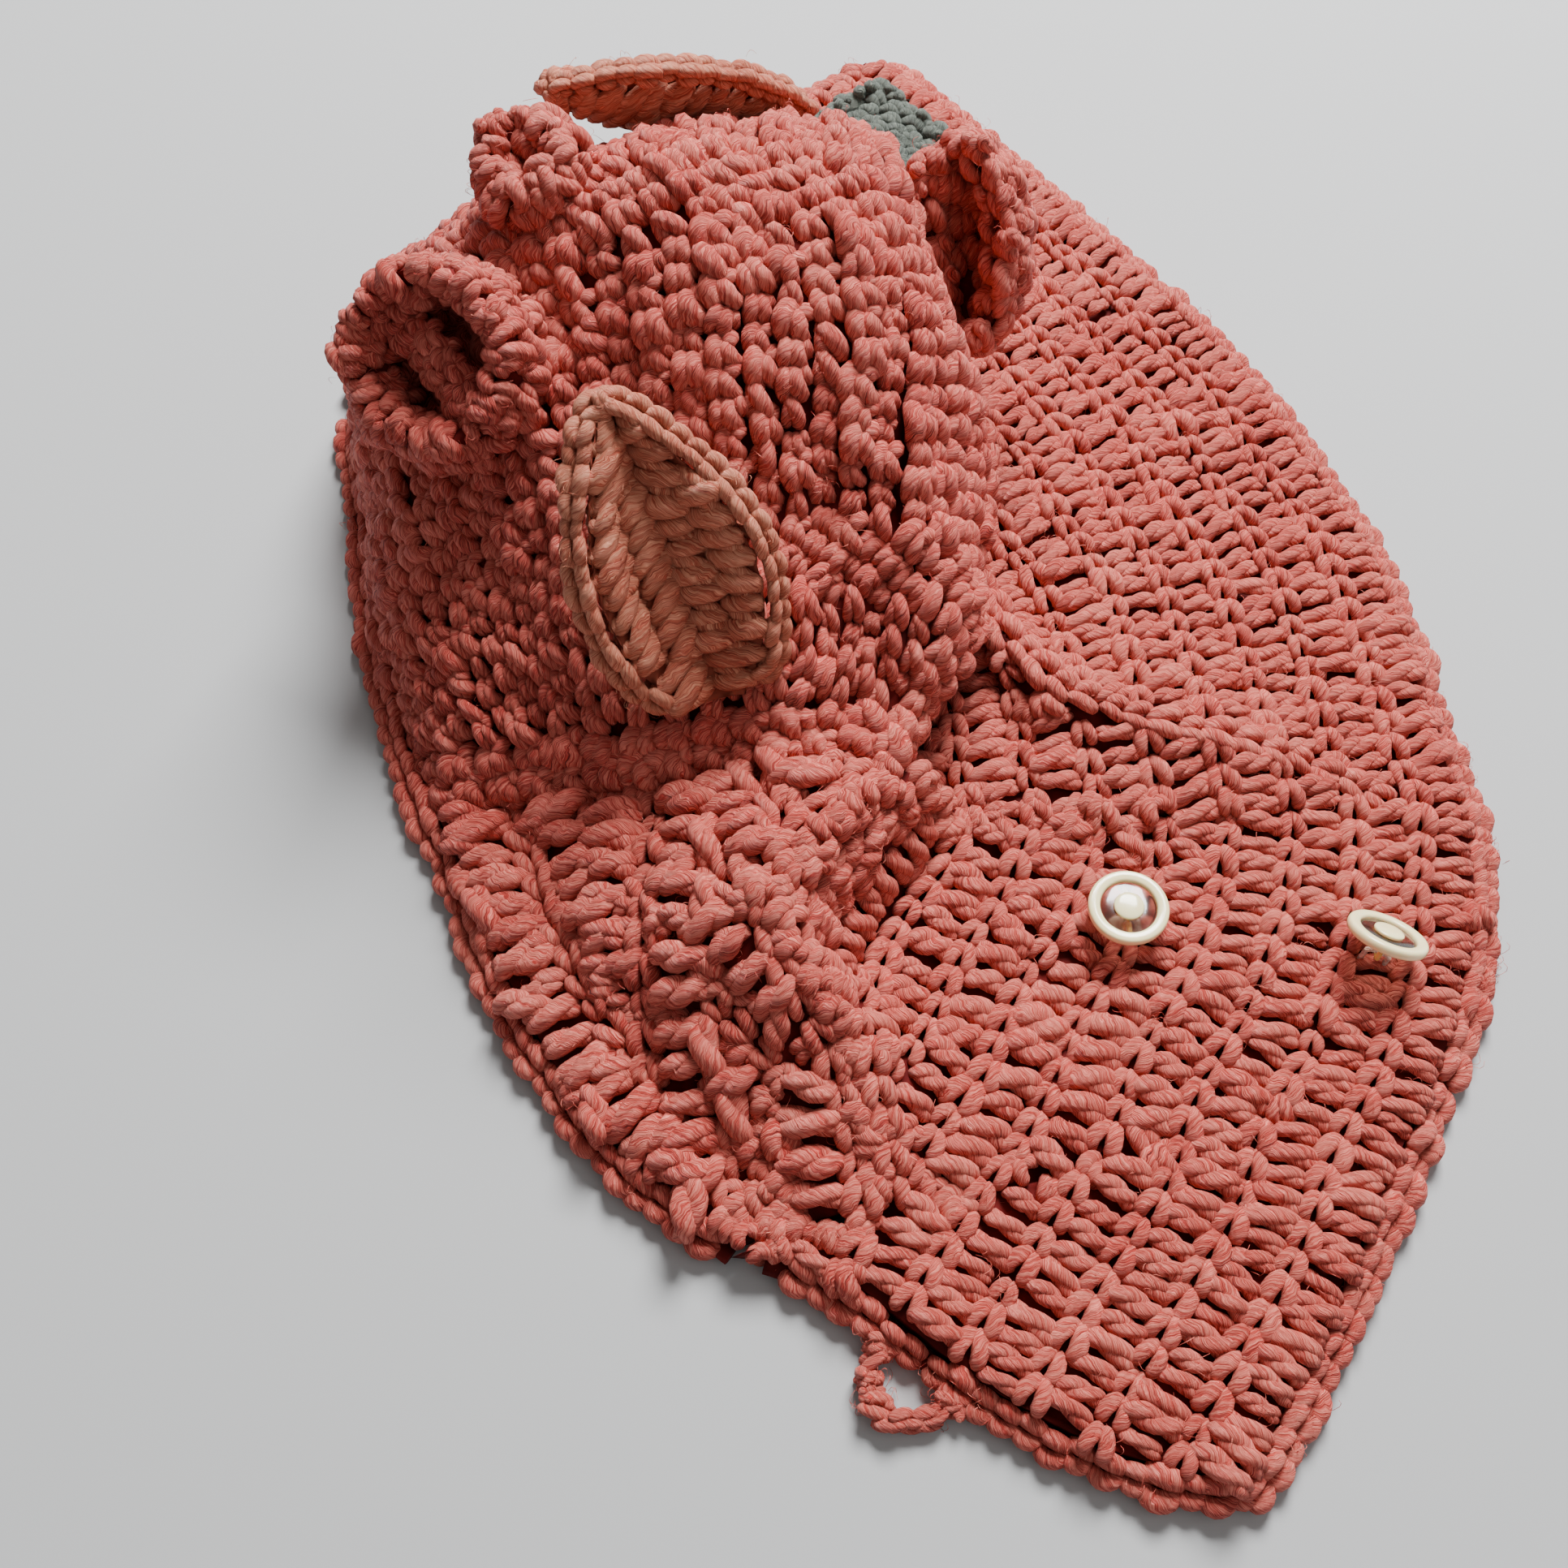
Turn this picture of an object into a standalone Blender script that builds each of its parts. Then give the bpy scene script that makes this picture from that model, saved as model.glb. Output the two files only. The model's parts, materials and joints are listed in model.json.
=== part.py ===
"""A crocheted animal hood with a cape, lying open on a flat surface.

The cape is one thick crocheted sheet with a leaf-shaped outline. The hood stands up from its left half as a dome,
with two ears, two rings at the muzzle end, and a folded lobe beside the face opening. Two shank buttons are sewn to
the front of the cape. Lengths are written in millimetres and turned into metres by MM. +Y points to the cape's back
corner, +Z points up, and the origin is on the floor under the middle of the outline.
"""

import math

import bmesh
import bpy
from mathutils import Matrix, Vector

MM = 0.001

# Overall sizes.
CAPE_WIDTH = 344.0
CAPE_LENGTH = 506.0
HOOD_HEIGHT = 116.0
CLOTH = 9.0  # thickness of the crocheted fabric
GAP = 0.3  # clearance between pieces that touch
EDGE_CHAIN = 5.4  # diameter of the chain crocheted round the outline

# Ears, both from one leaf pattern.
EAR_LENGTH = 94.0
EAR_WIDTH = 54.0
EAR_CLOTH = 5.0
EAR_CUP = 9.0  # how far the ear's long edges curl up
EAR_CHAIN = 4.6
SEAM = 0.6  # clearance between the hood's faceted surface and what is sewn on it

# Horns: soft tubes whose ends have fallen in, so that each is a raised rolled ring.
NEAR_HORN = 56.0
FAR_HORN = 31.0
HORN_CLOTH = 12.0  # width of the rolled wall
NEAR_HORN_HEIGHT = 21.0
FAR_HORN_HEIGHT = 15.0

# The band along the face opening, and its end that curls outwards.
BRIM_WIDTH = 15.0
CURL = 17.0  # radius of the curled end
CURL_CLOTH = 8.0

# Buttons: a moulded rim, a clear disc, a boss on top, and a shank below that the thread holds.
BUTTON = 22.0
BUTTON_RIM = 3.2
RIM_THICK = 2.8
DISC_THICK = 1.4
BOSS = 8.2
BOSS_THICK = 1.8
SHANK = 1.4
SHANK_DROP = 4.6  # from the disc's underside to the thread that the shank hangs on
THREAD = 1.5
TIE_WIDTH = 6.0
NEAR_STAND = 4.2  # height of each button's thread above the cloth
FAR_STAND = 8.5
NEAR_TILT = 3.0  # degrees each button leans at rest, away from the front
FAR_TILT = 40.0

LOOP_CORD = 5.0
LOOP_WIDTH = 26.0
LOOP_REACH = 13.0
LOOP_SHARE = 0.4  # how far along the front edge the loop is
PATCH_CLOTH = 4.0

# The outline below is drawn 344 wide and 506 long, and stretched to CAPE_WIDTH and CAPE_LENGTH.
DRAWN_WIDTH = 344.0
DRAWN_LENGTH = 506.0
DRAWN_HEIGHT = 116.0

RIGHT_EDGE = [(8, 253), (53, 200), (94, 146), (133, 87), (157, 27), (168, -35), (172, -88), (161, -128),
              (130, -184), (93, -243)]
FRONT_EDGE = [(-42, -196), (-15, -205), (18, -230), (50, -246), (81, -253)]
LEFT_EDGE = [(-172, 80), (-169, 60), (-156, -1), (-140, -54), (-125, -85), (-103, -131), (-77, -168), (-42, -196)]
BACK_EDGE = [(-172, 80), (-166, 104), (-147, 138), (-108, 172), (-49, 204), (8, 253)]
# Where the hood's foot and face opening leave the cape's back half open: the hole the wearer's neck goes through.
NECK_EDGE = [(14, -72), (14, 10), (16, 90), (19, 142), (4, 179), (-50, 190), (-100, 168), (-132, 142), (-150, 119)]

JOIN_Y = -72  # the hood and the back panel lie behind this line, the front panels before it
FOLD_LEFT = (-42, -196)  # the front corner folds along the line between these two points
FOLD_RIGHT = (150, -148)

# The raised fold that runs from the face opening to the front edge: (y, x of its crest, height of its crest).
RIDGE = [(-56, 14, 36), (-72, 3, 40), (-92, -16, 44), (-111, -28, 44), (-124, -25, 40), (-143, -12, 30),
         (-167, -5, 16), (-188, -3, 9)]
RIDGE_DROP = 26  # width of the fold's steep right side

# The hood, as cross-sections (y, [(x, z), ...]) from its left foot over the crown to the face opening.
HOOD_SECTIONS = [
    (-46, [(-142, 8), (-122, 26), (-88, 40), (-45, 48), (-8, 50), (14, 46), (20, 34)]),
    (-15, [(-151, 10), (-136, 38), (-102, 58), (-55, 68), (-12, 68), (16, 58), (25, 40)]),
    (18, [(-160, 12), (-147, 48), (-112, 76), (-62, 91), (-15, 88), (16, 72), (29, 46)]),
    (50, [(-166, 14), (-154, 52), (-119, 87), (-66, 110), (-18, 108), (12, 92), (26, 54)]),
    (80, [(-167, 14), (-152, 54), (-115, 90), (-66, 114), (-24, 110), (2, 98), (12, 58)]),
    (108, [(-148, 10), (-136, 42), (-106, 70), (-62, 92), (-24, 97), (0, 90), (11, 54)]),
    (134, [(-122, 6), (-112, 30), (-91, 49), (-57, 62), (-24, 66), (-3, 60), (10, 38)]),
    (156, [(-98, 4), (-88, 18), (-76, 29), (-50, 35), (-26, 36), (-6, 31), (8, 18)]),
    (176, [(-60, 3), (-54, 7), (-48, 9), (-42, 10), (-28, 10), (-14, 9), (-2, 4)]),
]

# Places on the drawn plan: each ear's base and the way its tip points, each horn's centre, each button.
NEAR_EAR = (-44, -56)
NEAR_EAR_TIP = (-0.263, 0.621, 0.737)
NEAR_EAR_FACE = (0.125, -0.736, 0.664)
FAR_EAR = (-22, 134)
FAR_EAR_TIP = (-0.82, -0.36, 0.44)
FAR_EAR_FACE = (-0.03, 0.74, 0.67)
NEAR_EAR_STAND = -0.4  # height of each ear's base above the hood, less half its cloth
FAR_EAR_STAND = 0.7
NEAR_HORN_PLACE = (-113, 30)
FAR_HORN_PLACE = (-92, 73)
NEAR_BUTTON = (66, -105)
FAR_BUTTON = (132, -117)
FAR_BUTTON_HEADING = -25.0  # degrees that the far button's tilt axis is turned from the X axis
BRIM_SPAN = (3, 8)  # the stations of the hood that the brim runs along, of HOOD_STATIONS
CURL_PATH = [(24, 68, 50), (28, 80, 61), (28, 93, 76), (21, 105, 90)]
HOOD_STATIONS = 16
CORNER_ROWS = 14
HOOD_COLUMNS = 22

COLOURS = {
    "coral yarn": ((0.62, 0.13, 0.10, 1.0), 0.75),
    "peach yarn": ((0.70, 0.24, 0.16, 1.0), 0.75),
    "grey yarn": ((0.10, 0.11, 0.10, 1.0), 0.85),
    "cream plastic": ((0.86, 0.78, 0.52, 1.0), 0.25),
    "clear plastic": ((0.55, 0.36, 0.22, 0.6), 0.12),
    "white thread": ((0.80, 0.72, 0.66, 1.0), 0.7),
}


def clear_scene():
    for old in list(bpy.data.objects):
        bpy.data.objects.remove(old)


def make_collection(name):
    made = bpy.data.collections.new(name)
    bpy.context.scene.collection.children.link(made)
    return made


def make_material(name):
    colour, roughness = COLOURS[name]
    material = bpy.data.materials.new(name)
    material.use_nodes = True
    surface = material.node_tree.nodes["Principled BSDF"]
    surface.inputs["Base Color"].default_value = colour
    surface.inputs["Roughness"].default_value = roughness
    surface.inputs["Metallic"].default_value = 0.0
    return material


def add(name, data, material, collection):
    made = bpy.data.objects.new(name, data)
    made.data.materials.clear()
    made.data.materials.append(material)
    collection.objects.link(made)
    return made


# ---- curves and surfaces -------------------------------------------------------------------------------------------

def drawn(point):
    """A drawn plan point at the cape's real size."""
    return point[0] * CAPE_WIDTH / DRAWN_WIDTH, point[1] * CAPE_LENGTH / DRAWN_LENGTH


def spline(values, at):
    """Catmull-Rom curve through evenly spaced values, each a tuple, at 0 to 1."""
    last = len(values) - 1
    place = min(max(at, 0.0), 1.0) * last
    step = min(int(place), last - 1)
    t = place - step
    a, b, c, d = (values[min(max(step + k, 0), last)] for k in (-1, 0, 1, 2))
    return tuple(
        q + 0.5 * t * (r - p + t * (2 * p - 5 * q + 4 * r - s + t * (3 * (q - r) + s - p)))
        for p, q, r, s in zip(a, b, c, d)
    )


def smooth_line(points, count):
    """count points evenly spaced by length on the smooth curve through the drawn points."""
    placed = [drawn(p) for p in points]
    fine = [spline(placed, i / 400) for i in range(401)]
    lengths = [0.0]
    for p, q in zip(fine, fine[1:]):
        lengths.append(lengths[-1] + math.dist(p, q))
    line = []
    k = 0
    for i in range(count):
        goal = lengths[-1] * i / (count - 1)
        while k < len(fine) - 2 and lengths[k + 1] < goal:
            k += 1
        share = (goal - lengths[k]) / (lengths[k + 1] - lengths[k])
        line.append(tuple(a + (b - a) * share for a, b in zip(fine[k], fine[k + 1])))
    return line


def inset(line, distance):
    """The line moved sideways: to its right for a positive distance."""
    moved = []
    for i, (x, y) in enumerate(line):
        before = line[max(i - 1, 0)]
        after = line[min(i + 1, len(line) - 1)]
        dx, dy = after[0] - before[0], after[1] - before[1]
        size = math.hypot(dx, dy)
        moved.append((x + dy / size * distance, y - dx / size * distance))
    return moved


def at_share(line, share):
    """The point at a share of the way along a line of even steps."""
    place = min(max(share, 0.0), 1.0) * (len(line) - 1)
    k = min(int(place), len(line) - 2)
    return tuple(a + (b - a) * (place - k) for a, b in zip(line[k], line[k + 1]))


def between(line, low, high, count, axis=1):
    """The stretch of a line whose coordinate on axis goes from low to high, as count even points."""
    fine = [at_share(line, i / 2000) for i in range(2001)]
    first = min(range(2001), key=lambda i: abs(fine[i][axis] - low))
    last = min(range(2001), key=lambda i: abs(fine[i][axis] - high))
    return [at_share(line, (first + (last - first) * i / (count - 1)) / 2000) for i in range(count)]


def ridge_at(y):
    """(x, height) of the raised fold's crest at y."""
    y = y * DRAWN_LENGTH / CAPE_LENGTH
    y = min(max(y, RIDGE[-1][0]), RIDGE[0][0])
    k = next(i for i in range(len(RIDGE) - 1) if y >= RIDGE[i + 1][0])
    share = (RIDGE[k][0] - y) / (RIDGE[k][0] - RIDGE[k + 1][0])
    x, height = spline([(r[1], r[2]) for r in RIDGE], (k + share) / (len(RIDGE) - 1))
    return x * CAPE_WIDTH / DRAWN_WIDTH, max(height * HOOD_HEIGHT / DRAWN_HEIGHT, CLOTH)


def cape_top(x, y, left_width):
    """Height of the front panels' top face. left_width is the distance from the crest to the left edge."""
    crest, height = ridge_at(y)
    width = left_width if x < crest else RIDGE_DROP * CAPE_WIDTH / DRAWN_WIDTH
    share = min(abs(x - crest) / max(width, 1.0), 1.0)
    return CLOTH + (height - CLOTH) * math.cos(share * math.pi / 2) ** 2


# ---- builders -------------------------------------------------------------------------------------------------------

def sheet(name, place, columns, rows, thickness, material, collection):
    """A panel with upright sides. place(s, t) gives a point of its top face in millimetres, its underside is
    thickness lower, and no part of it is below the floor."""
    bm = bmesh.new()
    bmesh.ops.create_grid(bm, x_segments=columns, y_segments=rows, size=0.5)
    for v in bm.verts:
        v.co = Vector(place(v.co.x + 0.5, v.co.y + 0.5)) * MM
    copied = bmesh.ops.extrude_face_region(bm, geom=bm.faces[:])
    for v in copied["geom"]:
        if isinstance(v, bmesh.types.BMVert):
            v.co.z = max(v.co.z - thickness * MM, 0.0)
    bmesh.ops.recalc_face_normals(bm, faces=bm.faces[:])
    mesh = bpy.data.meshes.new(name)
    bm.to_mesh(mesh)
    bm.free()
    mesh.shade_smooth()
    mesh.set_sharp_from_angle(angle=math.radians(50))
    return add(name, mesh, material, collection)


def loft(name, rings, material, collection):
    """A closed solid through rings of as many points each, with a flat cap on its first and its last ring."""
    bm = bmesh.new()
    made = [[bm.verts.new(Vector(p) * MM) for p in ring] for ring in rings]
    count = len(rings[0])
    for low, high in zip(made, made[1:]):
        for i in range(count):
            j = (i + 1) % count
            bm.faces.new((low[i], low[j], high[j], high[i]))
    bm.faces.new(made[0][::-1])
    bm.faces.new(made[-1])
    bmesh.ops.recalc_face_normals(bm, faces=bm.faces[:])
    mesh = bpy.data.meshes.new(name)
    bm.to_mesh(mesh)
    bm.free()
    mesh.shade_smooth()
    mesh.set_sharp_from_angle(angle=math.radians(50))
    return add(name, mesh, material, collection)


def rope(name, points, diameter, material, collection, closed=False, sides=2):
    """A round cord through points in millimetres."""
    curve = bpy.data.curves.new(name, "CURVE")
    curve.dimensions = "3D"
    curve.bevel_depth = diameter / 2 * MM
    curve.bevel_resolution = sides
    curve.use_fill_caps = not closed
    line = curve.splines.new("POLY")
    line.points.add(len(points) - 1)
    for target, point in zip(line.points, points):
        target.co = (*(Vector(point) * MM), 1.0)
    line.use_cyclic_u = closed
    return add(name, curve, material, collection)


def turned(name, profile, steps, material, collection):
    """A ring or disc turned about Z from (radius, height) points that run down its outer side."""
    mesh = bpy.data.meshes.new(name)
    points = [Vector((r, 0.0, z)) * MM for r, z in profile]
    closed = profile[0][0] > 0
    edges = [(i, i + 1) for i in range(len(points) - 1)]
    if closed:
        edges.append((len(points) - 1, 0))
    mesh.from_pydata(points, edges, [])
    made = add(name, mesh, material, collection)
    screw = made.modifiers.new("turn", "SCREW")
    screw.axis = "Z"
    screw.steps = steps
    screw.render_steps = steps
    screw.use_merge_vertices = True
    screw.merge_threshold = 0.00001
    screw.use_smooth_shade = True
    return made


# ---- the cape -------------------------------------------------------------------------------------------------------

def cape_edges():
    """The panels' sides, in from the outline by the chain crocheted round it."""
    room = EDGE_CHAIN + GAP
    right = inset(smooth_line(RIGHT_EDGE, 200), room)
    left = inset(smooth_line(LEFT_EDGE, 200), -room)
    front = inset(smooth_line(FRONT_EDGE, 120), -room)
    back = inset(smooth_line(BACK_EDGE, 160), room)
    return right, left, front, back


def fold_line():
    """The two ends of the line that the front corner folds along."""
    return drawn(FOLD_LEFT), drawn(FOLD_RIGHT)


def fold_y(x):
    (x0, y0), (x1, y1) = fold_line()
    return y0 + (y1 - y0) * (x - x0) / (x1 - x0)


def join_y():
    return drawn((0, JOIN_Y))[1]


def crest_line(low_y, count):
    """Points on the crest of the raised fold, from the join line down to low_y."""
    line = []
    for i in range(count):
        y = join_y() + (low_y - join_y()) * i / (count - 1)
        line.append((ridge_at(y)[0], y))
    return line


def left_width_at(y, left):
    near = min(left, key=lambda p: abs(p[1] - y))
    return ridge_at(y)[0] - near[0]


def build_front_panels(parts, coral):
    right, left, front, _ = cape_edges()
    crest_x = ridge_at(drawn(RIDGE[-1])[1])[0]
    fold_gap = GAP / 2
    crest_end = fold_y(crest_x) + fold_gap
    crest = crest_line(crest_end, 60)
    left_side = between(left, join_y() - fold_gap, fold_y(left[-1][0]) + fold_gap, 60)
    right_side = between(right, join_y() - fold_gap, fold_y(drawn(FOLD_RIGHT)[0]) + fold_gap, 60)

    def left_place(s, t):
        a, b = at_share(left_side, t), at_share(crest, t)
        x = a[0] + (b[0] - GAP / 2 - a[0]) * s
        y = a[1] + (b[1] - a[1]) * s
        if t == 0:
            y = join_y() - fold_gap
        return x, y, cape_top(x, y, left_width_at(y, left))

    def flap_place(s, t):
        a, b = at_share(crest, t), at_share(right_side, t)
        s = s ** 1.35  # closer columns on the raised fold's steep side
        x = a[0] + GAP / 2 + (b[0] - a[0]) * s
        y = a[1] + (b[1] - a[1]) * s
        if t == 0:
            y = join_y() - fold_gap
        return x, y, cape_top(x, y, left_width_at(y, left))

    tip_right = between(inset(right, SEAM), fold_y(drawn(FOLD_RIGHT)[0]) - fold_gap, right[-1][1], 60)

    def corner_place(s, t):
        a, b = at_share(front, t * 0.97), at_share(tip_right, t * 0.97)
        x, y = a[0] + (b[0] - a[0]) * s, a[1] + (b[1] - a[1]) * s
        if t == 0:
            y = fold_y(x) - fold_gap
        return x, y, CLOTH

    sheet("left_panel", left_place, 10, 9, CLOTH, coral, parts)
    sheet("front_flap", flap_place, 16, 9, CLOTH, coral, parts)
    sheet("front_corner", corner_place, 9, CORNER_ROWS, CLOTH, coral, parts)


def back_sides():
    """The back panel's outer and inner sides, from the join line round behind the hood."""
    right, _, _, back = cape_edges()
    outer = between(right[::-1], join_y() + GAP / 2, right[0][1], 120) + back[::-1][4:-17]
    outer = [at_share(outer, i / 199) for i in range(200)]
    return outer, smooth_line(NECK_EDGE, 200)


def back_top(s):
    """Height across the back panel, from the neck edge at 0 to the outline at 1: a low roll, then flat."""
    return CLOTH + 7.0 * math.sin(math.pi * min(s / 0.75, 1.0)) ** 2


def back_place(s, t):
    outer, inner = back_sides()
    a, b = at_share(inner, t), at_share(outer, t)
    x, y = a[0] + (b[0] - a[0]) * s, a[1] + (b[1] - a[1]) * s
    if t == 0:
        y = join_y() + GAP / 2
    fade = min(max((0.62 - t) / 0.12, 0.0), 1.0)
    return x, y, CLOTH + (back_top(s) - CLOTH) * fade


def build_back_panel(parts, coral):
    sheet("back_panel", back_place, 7, 40, CLOTH, coral, parts)


def build_grey_patch(parts, grey):
    """A contrasting patch sewn on the back panel, along its right border."""
    def place(s, t):
        x, y, z = back_place(0.42 + 0.40 * s, 0.36 + 0.22 * t)
        return x, y, z + GAP * 2 + PATCH_CLOTH

    sheet("grey_patch", place, 4, 14, PATCH_CLOTH, grey, parts)


def build_edge_chains(parts, coral):
    half = EDGE_CHAIN / 2
    (_, fold_left), (_, fold_right) = fold_line()
    right = inset(smooth_line(RIGHT_EDGE, 200), half)
    left = inset(smooth_line(LEFT_EDGE, 200), -half)
    front = inset(smooth_line(FRONT_EDGE, 120), -half)
    back = inset(smooth_line(BACK_EDGE, 160), half)
    room = GAP / 2 + half * 0.3
    runs = {
        "edge_chain_right": between(right, right[2][1], fold_right + room, 44),
        "edge_chain_left": between(left, left[3][1], fold_left + room, 30),
        "edge_chain_back": between(back, back[2][1], back[-5][1], 26),
        "edge_chain_corner": (
            [at_share(front, k / CORNER_ROWS) for k in range(CORNER_ROWS + 1)][1:]
            + between(right, fold_right - room, right[-1][1], CORNER_ROWS + 1)[::-1]
        ),
    }
    for name, line in runs.items():
        rope(name, [(x, y, half) for x, y in line], EDGE_CHAIN, coral, parts)


def build_button_loop(parts, coral):
    """The loop at the front edge that a button goes through."""
    front = smooth_line(FRONT_EDGE, 120)
    length = sum(math.dist(p, q) for p, q in zip(front, front[1:]))
    ahead = Vector(at_share(front, LOOP_SHARE + 0.02)) - Vector(at_share(front, LOOP_SHARE - 0.02))
    out = Vector((ahead.y, -ahead.x)).normalized()
    points = []
    for i in range(15):
        turn = math.pi * i / 14
        along = (LOOP_WIDTH - LOOP_CORD) / 2 * math.cos(turn) / length
        spot = Vector(at_share(front, LOOP_SHARE - along)) + out * (LOOP_REACH * math.sin(turn) + SEAM)
        points.append((spot.x, spot.y, LOOP_CORD / 2))
    rope("button_loop", points, LOOP_CORD, coral, parts)


# ---- the hood -------------------------------------------------------------------------------------------------------

def hood_profiles():
    """The cross-sections at real size, the first one meeting the left panel's top face."""
    _, left, _, _ = cape_edges()
    lift = HOOD_HEIGHT / DRAWN_HEIGHT
    y0 = join_y() + GAP / 2
    crest = ridge_at(y0)[0] - GAP / 2
    start = min(left, key=lambda p: abs(p[1] - y0))[0]
    xs = [start + (crest - start) * k / 6 for k in range(7)]
    profiles = [(y0, [(x, cape_top(x, y0, crest - start)) for x in xs])]
    for section_y, points in HOOD_SECTIONS:
        y = drawn((0, section_y))[1]
        placed = [(drawn((x, 0))[0], z * lift) for x, z in points]
        foot = min(left, key=lambda p: abs(p[1] - y))[0] + GAP + 1.0
        shift = max(foot - placed[0][0], 0.0) if section_y <= 80 else 0.0
        placed = [(x + shift * (1 - k / 6), z) for k, (x, z) in enumerate(placed)]
        profiles.append((y, placed))
    return profiles


def hood_point(profiles, u, v):
    """A point of the hood's outer face: u from its left foot to the face opening, v from front to back."""
    ys = [(p[0],) for p in profiles]
    x, z = spline([spline(p[1], u) for p in profiles], v)
    return x, spline(ys, v)[0], z


def inward(outer, depth):
    """The cross-section's inner line, depth inside the outer one and not below the floor."""
    inner = []
    for i, (x, z) in enumerate(outer):
        before, after = outer[max(i - 1, 0)], outer[min(i + 1, len(outer) - 1)]
        dx, dz = after[0] - before[0], after[1] - before[1]
        size = math.hypot(dx, dz)
        inner.append((x + dz / size * depth, max(z - dx / size * depth, 0.0)))
    inner[0] = (outer[0][0] + depth, 0.0)
    for i in range(1, len(inner) // 3):
        inner[i] = (max(inner[i][0], inner[i - 1][0] + 0.3), inner[i][1])
    return inner


def hood_rings():
    """(y, outer line, inner line) at each station of the hood, the lines as (x, z) points."""
    profiles = hood_profiles()
    rings = []
    for k in range(HOOD_STATIONS + 1):
        v = k / HOOD_STATIONS
        outer = [hood_point(profiles, i / HOOD_COLUMNS, v) for i in range(HOOD_COLUMNS + 1)]
        flat = [(outer[0][0] - (0.5 if k else 0.0), 0.0)] + [(p[0], p[2]) for p in outer]
        inner = inward(flat, CLOTH)
        rings.append((outer[0][1], flat, inner))
    return rings


def build_hood(parts, coral):
    rings = []
    for y, outer, inner in hood_rings():
        rings.append([(x, y, z) for x, z in outer + inner[::-1]])
    loft("hood_shell", rings, coral, parts)


def build_brim(parts, coral):
    """A ribbed band along the hood's edge at the face opening, in line with the hood's cloth."""
    first, last = BRIM_SPAN
    rings = []
    for y, outer, inner in hood_rings()[first:last + 1]:
        top, low = Vector(outer[-1]), Vector(inner[-1])
        ahead = (Vector(outer[-1]) - Vector(outer[-2])).normalized()
        start = ahead * SEAM
        bulge = (top - low) * 0.12
        ring = [top + start, top + ahead * BRIM_WIDTH * 0.5 + bulge, top + ahead * BRIM_WIDTH,
                (top + low) / 2 + ahead * (BRIM_WIDTH + 2.5),
                low + ahead * BRIM_WIDTH, low + ahead * BRIM_WIDTH * 0.5 - bulge, low + start]
        rings.append([(p.x, y, p.y) for p in ring])
    loft("hood_brim", rings, coral, parts)


def build_curl(parts, coral):
    """The end of the brim that curls outwards: a gutter with a rolled rim, open towards the hood's crown."""
    path = [(drawn(p)[0], drawn(p)[1], p[2] * HOOD_HEIGHT / DRAWN_HEIGHT) for p in CURL_PATH]
    rings = []
    count = 12
    for k in range(count + 1):
        at = k / count
        here = Vector(spline(path, at))
        ahead = (Vector(spline(path, at + 0.02)) - Vector(spline(path, at - 0.02))).normalized()
        side = ahead.cross(Vector((-0.55, -0.45, 0.7))).normalized()
        face = side.cross(ahead)
        radius = CURL * (0.62 + 0.38 * math.sin(math.pi * at))
        ring = []
        for reach, turns in ((radius, range(9)), (radius - CURL_CLOTH, range(8, -1, -1))):
            for i in turns:
                turn = math.radians(-115 + 230 * i / 8)
                ring.append(here + (side * math.sin(turn) - face * math.cos(turn)) * reach)
        rings.append(ring)
    loft("brim_curl", rings, coral, parts)


def surface_at(x, y):
    """(point, outward normal) on the hood's outer face above a plan point."""
    profiles = hood_profiles()

    def height(px, py):
        low, high = 0.0, 1.0
        for _ in range(30):
            v = (low + high) / 2
            if hood_point(profiles, 0.5, v)[1] < py:
                low = v
            else:
                high = v
        line = [hood_point(profiles, i / 80, v) for i in range(81)]
        k = max(i for i in range(80) if line[i][0] <= px)
        share = (px - line[k][0]) / (line[k + 1][0] - line[k][0])
        return line[k][2] + (line[k + 1][2] - line[k][2]) * share

    z = height(x, y)
    step = 2.0
    slope_x = (height(x + step, y) - height(x - step, y)) / (2 * step)
    slope_y = (height(x, y + step) - height(x, y - step)) / (2 * step)
    return Vector((x, y, z)), Vector((-slope_x, -slope_y, 1.0)).normalized()


def build_horns(parts, coral):
    for name, place, width, height, lean in (
        ("horn_near", NEAR_HORN_PLACE, NEAR_HORN, NEAR_HORN_HEIGHT, 0.32),
        ("horn_far", FAR_HORN_PLACE, FAR_HORN, FAR_HORN_HEIGHT, 0.25),
    ):
        cx, cy = drawn(place)
        _, normal = surface_at(cx, cy)
        side = Vector((1, 0, 0)).cross(normal).normalized()
        ahead = side.cross(normal).normalized()
        middle = width / 2 - HORN_CLOTH / 2
        rings = []
        for k in range(24):
            turn = 2 * math.pi * k / 24
            out = ahead * math.cos(turn) + side * math.sin(turn)
            spot = Vector((cx, cy, 0)) + out * middle
            base, _ = surface_at(spot.x, spot.y)
            tall = height * (1 - lean * math.sin(turn - 0.6))
            ring = []
            for i in range(9):
                bend = math.radians(-50 + 280 * i / 8)
                reach = HORN_CLOTH / 2 * math.cos(bend)
                rise = tall * (0.5 + 0.5 * math.sin(bend)) / 0.94
                spot = Vector((cx, cy, 0)) + out * (middle + reach)
                foot, _ = surface_at(spot.x, spot.y)
                low = foot + normal * SEAM * 1.1
                high = base + normal * rise + out * reach
                share = min(max(rise / tall, 0.0), 1.0)
                ring.append(low.lerp(high, share ** 0.5))
            rings.append(ring)
        wrap(name, rings, coral, parts)


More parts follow.
